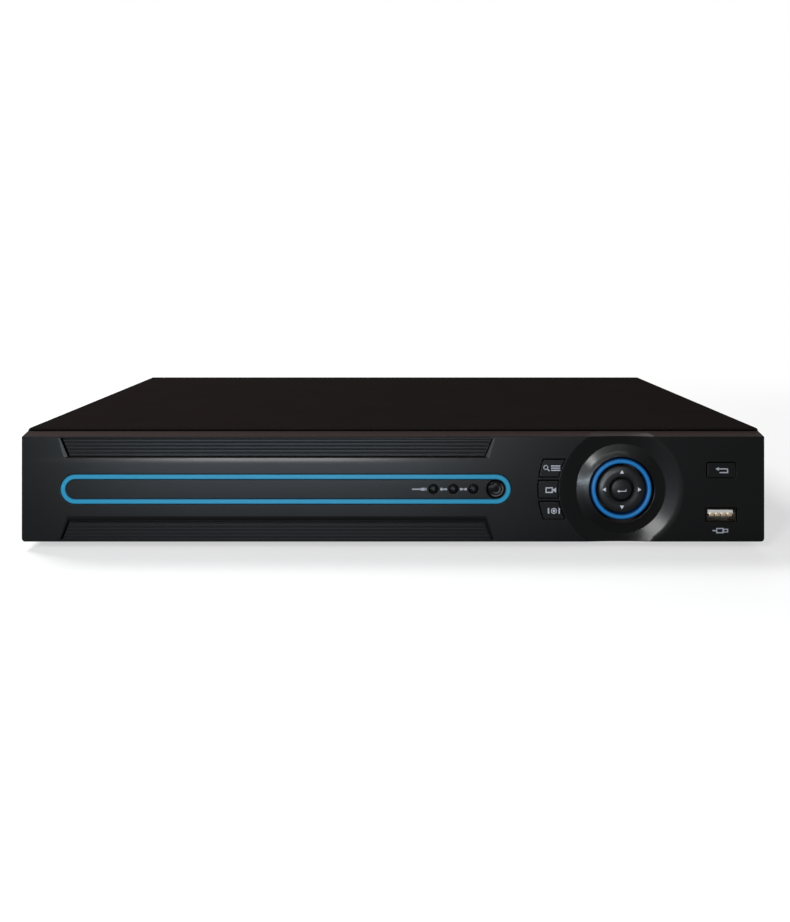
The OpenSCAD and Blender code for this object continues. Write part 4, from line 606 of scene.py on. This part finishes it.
def bow(centre_r, centre_y, across, out, first, last, steps):
    """Points of an elliptic bow in a turned profile, from one angle to another in degrees."""
    angles = [math.radians(first + (last - first) * i / steps) for i in range(steps + 1)]
    points = [(centre_r + across * math.cos(a), centre_y - out * math.sin(a)) for a in angles]
    return [(0 if abs(radius) < 1e-6 else radius, depth) for radius, depth in points]


def rod(name, start, end, radius):
    """Round bar with softened ends."""
    release()
    run = end - start
    bpy.ops.mesh.primitive_cylinder_add(
        vertices=32, radius=radius * MM, depth=run.length, location=(start + end) / 2,
        rotation=run.to_track_quat("Z", "Y").to_euler())
    obj = named(name)
    edit()
    close_up()
    finished(obj, "BEVEL", width=0.12 * radius * MM, segments=3)
    return obj


def united(obj, others):
    """Fuses other pieces into one."""
    for other in others:
        finished(obj, "BOOLEAN", operation="UNION", solver="EXACT", object=other)
        bpy.data.objects.remove(other)
    bpy.ops.object.shade_smooth_by_angle(angle=math.radians(SMOOTH_ANGLE))


# Radii of the turned pieces, and depths behind the face, are in millimetres.
# Enter button: dome, barrel, flange and stem
STEM_R, STEM_END = 1.5, depth_of(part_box("enter_button")[1].y)
BARREL_R, BARREL_END = 4.55, 3.2
FLANGE_R, FLANGE_END = 5.45, 4.2
dome = bow(0, 0.2, BARREL_R, 1.16, 0, 90, 20)
enter = turned("enter_dome", DIAL, [
    (0, STEM_END), (STEM_R, STEM_END), (STEM_R, FLANGE_END), (FLANGE_R, FLANGE_END),
    (FLANGE_R, BARREL_END), (BARREL_R, BARREL_END)] + dome)
fitted(enter, "enter_button", "key_plastic", "enter_button")

# Rocker ring: crown and skirt, pins along X and posts over the switches
CROWN_R, CROWN_IN, CROWN_OUT, CROWN_END = 7.75, 5.2, 10.3, 2.4
SKIRT_IN, SKIRT_OUT, SKIRT_END = 8.3, 9.6, 7.5
PIN_FROM, PIN_TO, PIN_DEPTH, PIN_R = 8.8, 13.2, 6.2, 0.9
POST_AT, POST_FROM, POST_R = 6.8, 1.9, 0.9
POST_END = depth_of(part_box("rocker_ring")[1].y)
crown = bow(CROWN_R, 0.5, 2.55, 1.4, 180, 0, 24)
rocker = turned("rocker_crown", DIAL, [(CROWN_IN, CROWN_END)] + crown + [
    (CROWN_OUT, CROWN_END), (SKIRT_OUT, CROWN_END), (SKIRT_OUT, SKIRT_END),
    (SKIRT_IN, SKIRT_END), (SKIRT_IN, CROWN_END), (CROWN_IN, CROWN_END)])
bars = []
for side in (-1, 1):
    bars.append(rod("pin", DIAL + Vector((side * PIN_FROM, PIN_DEPTH, 0)) * MM,
                    DIAL + Vector((side * PIN_TO, PIN_DEPTH, 0)) * MM, PIN_R))
for turn in range(4):
    angle = turn * math.pi / 2
    foot = DIAL + Vector((math.cos(angle), 0, math.sin(angle))) * POST_AT * MM
    bars.append(rod("post", behind(foot, POST_FROM), behind(foot, POST_END), POST_R))
united(rocker, bars)
fitted(rocker, "rocker_ring", "key_plastic", "rocker_ring")

# Ring light with its flange behind the face
GLOW_IN, GLOW_OUT, GLOW_FLANGE_R = 11.1, 13.4, 14.8
FLANGE_FRONT, GLOW_END = 3.0, 3.8
glow = bow(12.25, 0.8, 1.15, 0.9, 180, 0, 20)
ring = turned("dial_glow", DIAL, [(GLOW_IN, GLOW_END)] + glow + [
    (GLOW_OUT, FLANGE_FRONT), (GLOW_FLANGE_R, FLANGE_FRONT), (GLOW_FLANGE_R, GLOW_END),
    (GLOW_IN, GLOW_END)])
fitted(ring, "case", "light_lens", "ring_light")

# Status lenses with their light pipes
PIPE_R, PIPE_END = 1.4, depth_of(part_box("status_lenses")[1].y)
LENS_R, LENS_FLANGE_R, LENS_END = 2.0, 2.6, 3.6
first_lens = Vector((LENS_XS[0], FACE_Y, DIAL.z))
lens = turned("status_lens.1", first_lens, [
    (0, PIPE_END), (PIPE_R, PIPE_END), (PIPE_R, LENS_END), (LENS_FLANGE_R, LENS_END),
    (LENS_FLANGE_R, FLANGE_FRONT), (LENS_R, FLANGE_FRONT)]
    + bow(0, 0.9, LENS_R, 0.6, 0, 90, 14), 64)
lenses = [lens]
for count, x in enumerate(LENS_XS[1:], 2):
    lenses.append(copied(lens, "status_lens.%d" % count, (x - LENS_XS[0], 0, 0)))
for lens in lenses:
    fitted(lens, "case", "dark_lens", "status_lenses")

# Infrared window: a rim level with the face round a sunk dome
RIM_R, WINDOW_FLANGE_R, WINDOW_END = 4.1, 4.7, 3.6
window_at = middle("ir_window")
window_at.y = FACE_Y
window = turned("receiver_window", window_at, [
    (0, WINDOW_END), (WINDOW_FLANGE_R, WINDOW_END), (WINDOW_FLANGE_R, FLANGE_FRONT),
    (RIM_R, FLANGE_FRONT), (RIM_R, 0.05), (RIM_R - 0.05, 0)]
    + bow(0, 0.9, 3.5, 0.6, 0, 90, 16), 96)
fitted(window, "case", "dark_lens", "ir_window")

# Contacts of the front data socket: one spring bent in profile, then copied
SPRING_W, SPRING_PITCH, SPRING_T, SPRING_LIP = 2.3, 2.6, 0.12, 0.5
SPRING_BENDS = ((0, 0.03, -0.55), (0, 0.12, -0.5), (0, 0.45, -0.3), (0, 1.6, -0.12), (0, 3.6, 0))
release()
bpy.ops.mesh.primitive_plane_add(size=1, rotation=UPRIGHT)
spring = named("data_spring.1")
spring.scale = (SPRING_W * MM, 1, SPRING_LIP * MM)
spring.location = (middle("front_data_tongue").x - 1.5 * SPRING_PITCH * MM,
                   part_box("front_data_tongue")[0].y - SPRING_T * MM,
                   middle("front_data_shell").z + SPRING_LIP * MM)
named("data_spring.1")
bpy.context.view_layer.update()
corners = spring.data.vertices
lowest = min(corner.co.z for corner in corners) + 0.01 * MM
for corner in corners:
    corner.select = corner.co.z < lowest
for side in spring.data.edges:
    side.select = all(corners[i].co.z < lowest for i in side.vertices)
for face in spring.data.polygons:
    face.select = False
bpy.ops.object.mode_set(mode="EDIT")
for bend in SPRING_BENDS:
    drawn(Vector(bend) * MM)
close_up(60.0)
finished(spring, "SOLIDIFY", thickness=SPRING_T * MM, offset=0.0)
finished(spring, "BEVEL", width=0.03 * MM, segments=2)
springs = [spring]
for count in (1, 2, 3):
    springs.append(copied(spring, "data_spring.%d" % (count + 1),
                          (count * SPRING_PITCH * MM, 0, 0)))
for spring in springs:
    fitted(spring, "case", "contact_gold")

# ---------------------------------------------------------------- printed marks
# A shape is its number of sides, its middle (u, w) and half sizes in millimetres, then, where they
# aren't nought, its turn in degrees and the width of its rim.
BAR, TIP, DISC = 4, 3, 32
INK, SUNK = 0.03, 0.02


def ink(sides, u, w, half_u, half_w, turn=0.0, hollow=0.0, solid=True):
    """Flat shape that faces the front: bar, arrow head or disc, or a rim of these."""
    release()
    reach, start = (math.sqrt(2), math.pi / 4) if sides == BAR else (1, 0)
    bpy.ops.mesh.primitive_circle_add(vertices=sides, radius=reach, fill_type="NGON",
                                      rotation=(math.pi / 2, start, 0))
    obj = named("ink")
    obj.scale = (half_u * MM, 1, half_w * MM)
    obj.rotation_euler = (0, math.radians(turn), 0)
    obj.location = (u * MM, 0, w * MM)
    named("ink")
    edit()
    if hollow:
        bpy.ops.mesh.inset(thickness=hollow * MM, depth=0)
        bpy.ops.mesh.delete(type="FACE")
        bpy.ops.mesh.select_all(action="SELECT")
    if solid:
        thick = {"value": (0, -(INK + SUNK) * MM, 0)}
        bpy.ops.mesh.extrude_region_move(TRANSFORM_OT_translate=thick)
    else:
        bpy.ops.mesh.subdivide(number_cuts=5)
    close_up()
    return obj


def mark(name, body, place, *shapes):
    """Print on a flat face: place is its middle on that face."""
    obj = joined(name, [ink(*shape) for shape in shapes], behind(place, SUNK))
    fitted(obj, body, "mark_print")


def mark_on(name, body, dome_piece, place, *shapes):
    """Print on a dome: flat shapes dropped onto it along Y, and given a thickness."""
    obj = joined(name, [ink(*shape, solid=False) for shape in shapes], behind(place, -5))
    finished(obj, "SHRINKWRAP", target=dome_piece, wrap_method="PROJECT", use_project_x=False,
             use_project_y=True, use_project_z=False, use_negative_direction=False,
             use_positive_direction=True)
    finished(obj, "SOLIDIFY", thickness=(INK + SUNK) * MM, offset=INK / (INK + SUNK))
    fitted(obj, body, "mark_print")


def on_key(node, u, w):
    """Point on a key's face, u and w from the dial's middle in millimetres."""
    return Vector((DIAL.x + u * MM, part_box(node)[0].y, DIAL.z + w * MM))


def on_face(x, z, u=0.0, w=0.0):
    """Point on the face, u and w from x and z in millimetres."""
    return Vector((x + u * MM, FACE_Y, z + w * MM))


mark("find_print", "upper_key", on_key("upper_key", -29.6, 9.3),
     (DISC, -3.6, 0.3, 1.05, 1.05, 0, 0.32), (BAR, -2.45, -0.85, 0.6, 0.2, 45),
     (BAR, 0.7, 0.95, 2.0, 0.24), (BAR, 0.7, 0.0, 2.0, 0.24), (BAR, 0.7, -0.95, 2.0, 0.24))
mark("camera_print", "middle_key", on_key("middle_key", -30.9, -0.3),
     (BAR, -0.85, 0.0, 1.6, 1.25, 0, 0.5), (TIP, 1.55, 0.0, 1.25, 1.25, -90))
mark("record_print", "lower_key", on_key("lower_key", -29.7, -9.4),
     (DISC, 0.0, 0.0, 1.3, 1.3, 0, 0.36), (DISC, 0.0, 0.0, 0.6, 0.6),
     (BAR, -2.35, 0.0, 0.3, 1.25), (BAR, 2.35, 0.0, 0.3, 1.25))
mark("return_print", "back_key", on_key("back_key", 44.0, 8.4),
     (TIP, -2.1, 0.55, 0.95, 0.95, -90), (BAR, 0.3, 0.55, 2.0, 0.25),
     (BAR, 2.23, -0.25, 0.25, 1.02), (BAR, 0.6, -1.05, 1.9, 0.25))
mark("plug_print", "case", on_face(LENS_XS[2], DIAL.z, -6.1),
     (BAR, -1.3, 0.0, 2.0, 0.28), (BAR, 1.4, 0.0, 0.8, 0.62),
     (BAR, 2.65, 0.32, 0.55, 0.15), (BAR, 2.65, -0.32, 0.55, 0.15))
mark("disc_print", "case", on_face(LENS_XS[1], DIAL.z, -4.35),
     (DISC, -0.85, 0.0, 0.65, 0.65), (BAR, 0.75, 0.0, 0.75, 0.35))
mark("link_print", "case", on_face(LENS_XS[0], DIAL.z, -4.4),
     (BAR, -1.0, 0.0, 0.52, 0.52), (BAR, 1.0, 0.0, 0.52, 0.52), (BAR, 0.0, 0.0, 0.6, 0.18))
socket = middle("front_data_shell")
mark("socket_print", "case", on_face(socket.x, socket.z, -0.3, -6.8),
     (BAR, -2.6, 0.0, 0.9, 0.26), (BAR, -0.3, 0.0, 1.6, 1.15, 0, 0.45),
     (BAR, 2.2, 0.0, 1.1, 0.8, 0, 0.4))
ARROW_AT = 7.5
for count in range(4):
    angle = count * math.pi / 2
    reach = Vector((math.sin(angle), 0, math.cos(angle))) * ARROW_AT * MM
    mark_on("arrow_print.%d" % (count + 1), "rocker_ring", rocker, DIAL + reach,
            (TIP, 0.0, 0.0, 1.05, 1.05, 90 * count))
mark_on("enter_print", "enter_button", enter, DIAL - Vector((0, 0, 0.7 * MM)),
        (TIP, -1.5, 0.0, 0.62, 0.62, -90), (BAR, 0.35, 0.0, 1.5, 0.16),
        (BAR, 1.75, 0.35, 0.16, 0.4))

# ---------------------------------------------------------------- stage: floor, light and camera
FLOOR_SIZE, FLOOR_WHITE = 60.0, 0.56
SHADOWS_TO, ALL_WHITE_FROM = 0.45, 0.9
release()
bpy.ops.mesh.primitive_plane_add(size=FLOOR_SIZE)
floor = named("floor")
paper = Finish("paper", Roughness=1.0, Specular_IOR_Level=0.0)
paper.give("Base Color", paper.blend(paper.noise(30.0), shade((0.86, 0.86, 0.86)),
                                     shade((0.88, 0.88, 0.88))))
bare = paper.node("ShaderNodeEmission", None, {"Strength": 1.0})
across, along = paper.axis("X"), paper.axis("Y")
from_part = (across * across + along * along).root()
white = FLOOR_WHITE + (1 - FLOOR_WHITE) * from_part.step(SHADOWS_TO, ALL_WHITE_FROM)
mixed = paper.node("ShaderNodeMixShader", None,
                   {0: white * paper.seen(), 1: Flow(paper, paper.shader.outputs[0]), 2: bare})
paper.feed(paper.tree.nodes["Material Output"].inputs["Surface"], mixed)
floor.data.materials.append(paper.material)

WORLD_LIGHT = 0.1
scene.world = bpy.data.worlds.new("studio")
scene.world.use_nodes = True
studio = Nodes(scene.world.node_tree)
sky = studio.tree.nodes["Background"]
sky.inputs["Color"].default_value = (1, 1, 1, 1)
studio.feed(sky.inputs["Strength"], WORLD_LIGHT + (1 - WORLD_LIGHT) * studio.seen())


def lamp(name, place, target, size, power, height=None, colour=(1, 1, 1)):
    """Soft light, square or as high as given, that faces a point."""
    bpy.ops.object.light_add(type="AREA", location=place)
    obj = bpy.context.view_layer.objects.active
    obj.name = name
    obj.rotation_euler = (Vector(target) - Vector(place)).to_track_quat("-Z", "Y").to_euler()
    obj.data.shape = "RECTANGLE"
    obj.data.size = size
    obj.data.size_y = height or size
    obj.data.energy = power
    obj.data.color = colour
    obj.visible_camera = False


DIAL_AIM = (0.1, -0.127, 0.026)
lamp("key", (-0.207, -0.745, 0.316), DIAL_AIM, 0.09, 2.3)
lamp("sheen", (-0.088, -0.46, 0.013), (-0.05, -0.127, 0.03), 0.26, 1.45, 0.022, (0.76, 0.88, 1.0))
lamp("dial", (0.085, -0.774, 0.068), DIAL_AIM, 0.08, 1.1)
lamp("over", (0.02, -0.75, 0.42), (0.02, -0.127, 0.03), 0.6, 1.0, 0.08)
lamp("side", (-0.5, -0.68, 0.22), (0.1, -0.127, 0.03), 0.3, 1.6, 0.42)
lamp("back_left", (-0.75, 0.45, 0.95), (0.0, 0.0, 0.0), 0.5, 18.0)
lamp("rear", (0.5, 1.2, 0.6), (0.0, 0.1, 0.02), 0.6, 6.0)

CAMERA_X, CAMERA_FROM_FACE, CAMERA_HEIGHT = 0.0026, 0.465, 0.1196
bpy.ops.object.camera_add(location=(CAMERA_X, FACE_Y - CAMERA_FROM_FACE, CAMERA_HEIGHT),
                          rotation=UPRIGHT)
camera = bpy.context.view_layer.objects.active
camera.data.lens = 41.5
camera.data.sensor_width = 36.0
camera.data.shift_x = -0.0043
camera.data.shift_y = -0.2002
camera.data.clip_start = 0.01
scene.camera = camera
scene.view_settings.view_transform = "Standard"
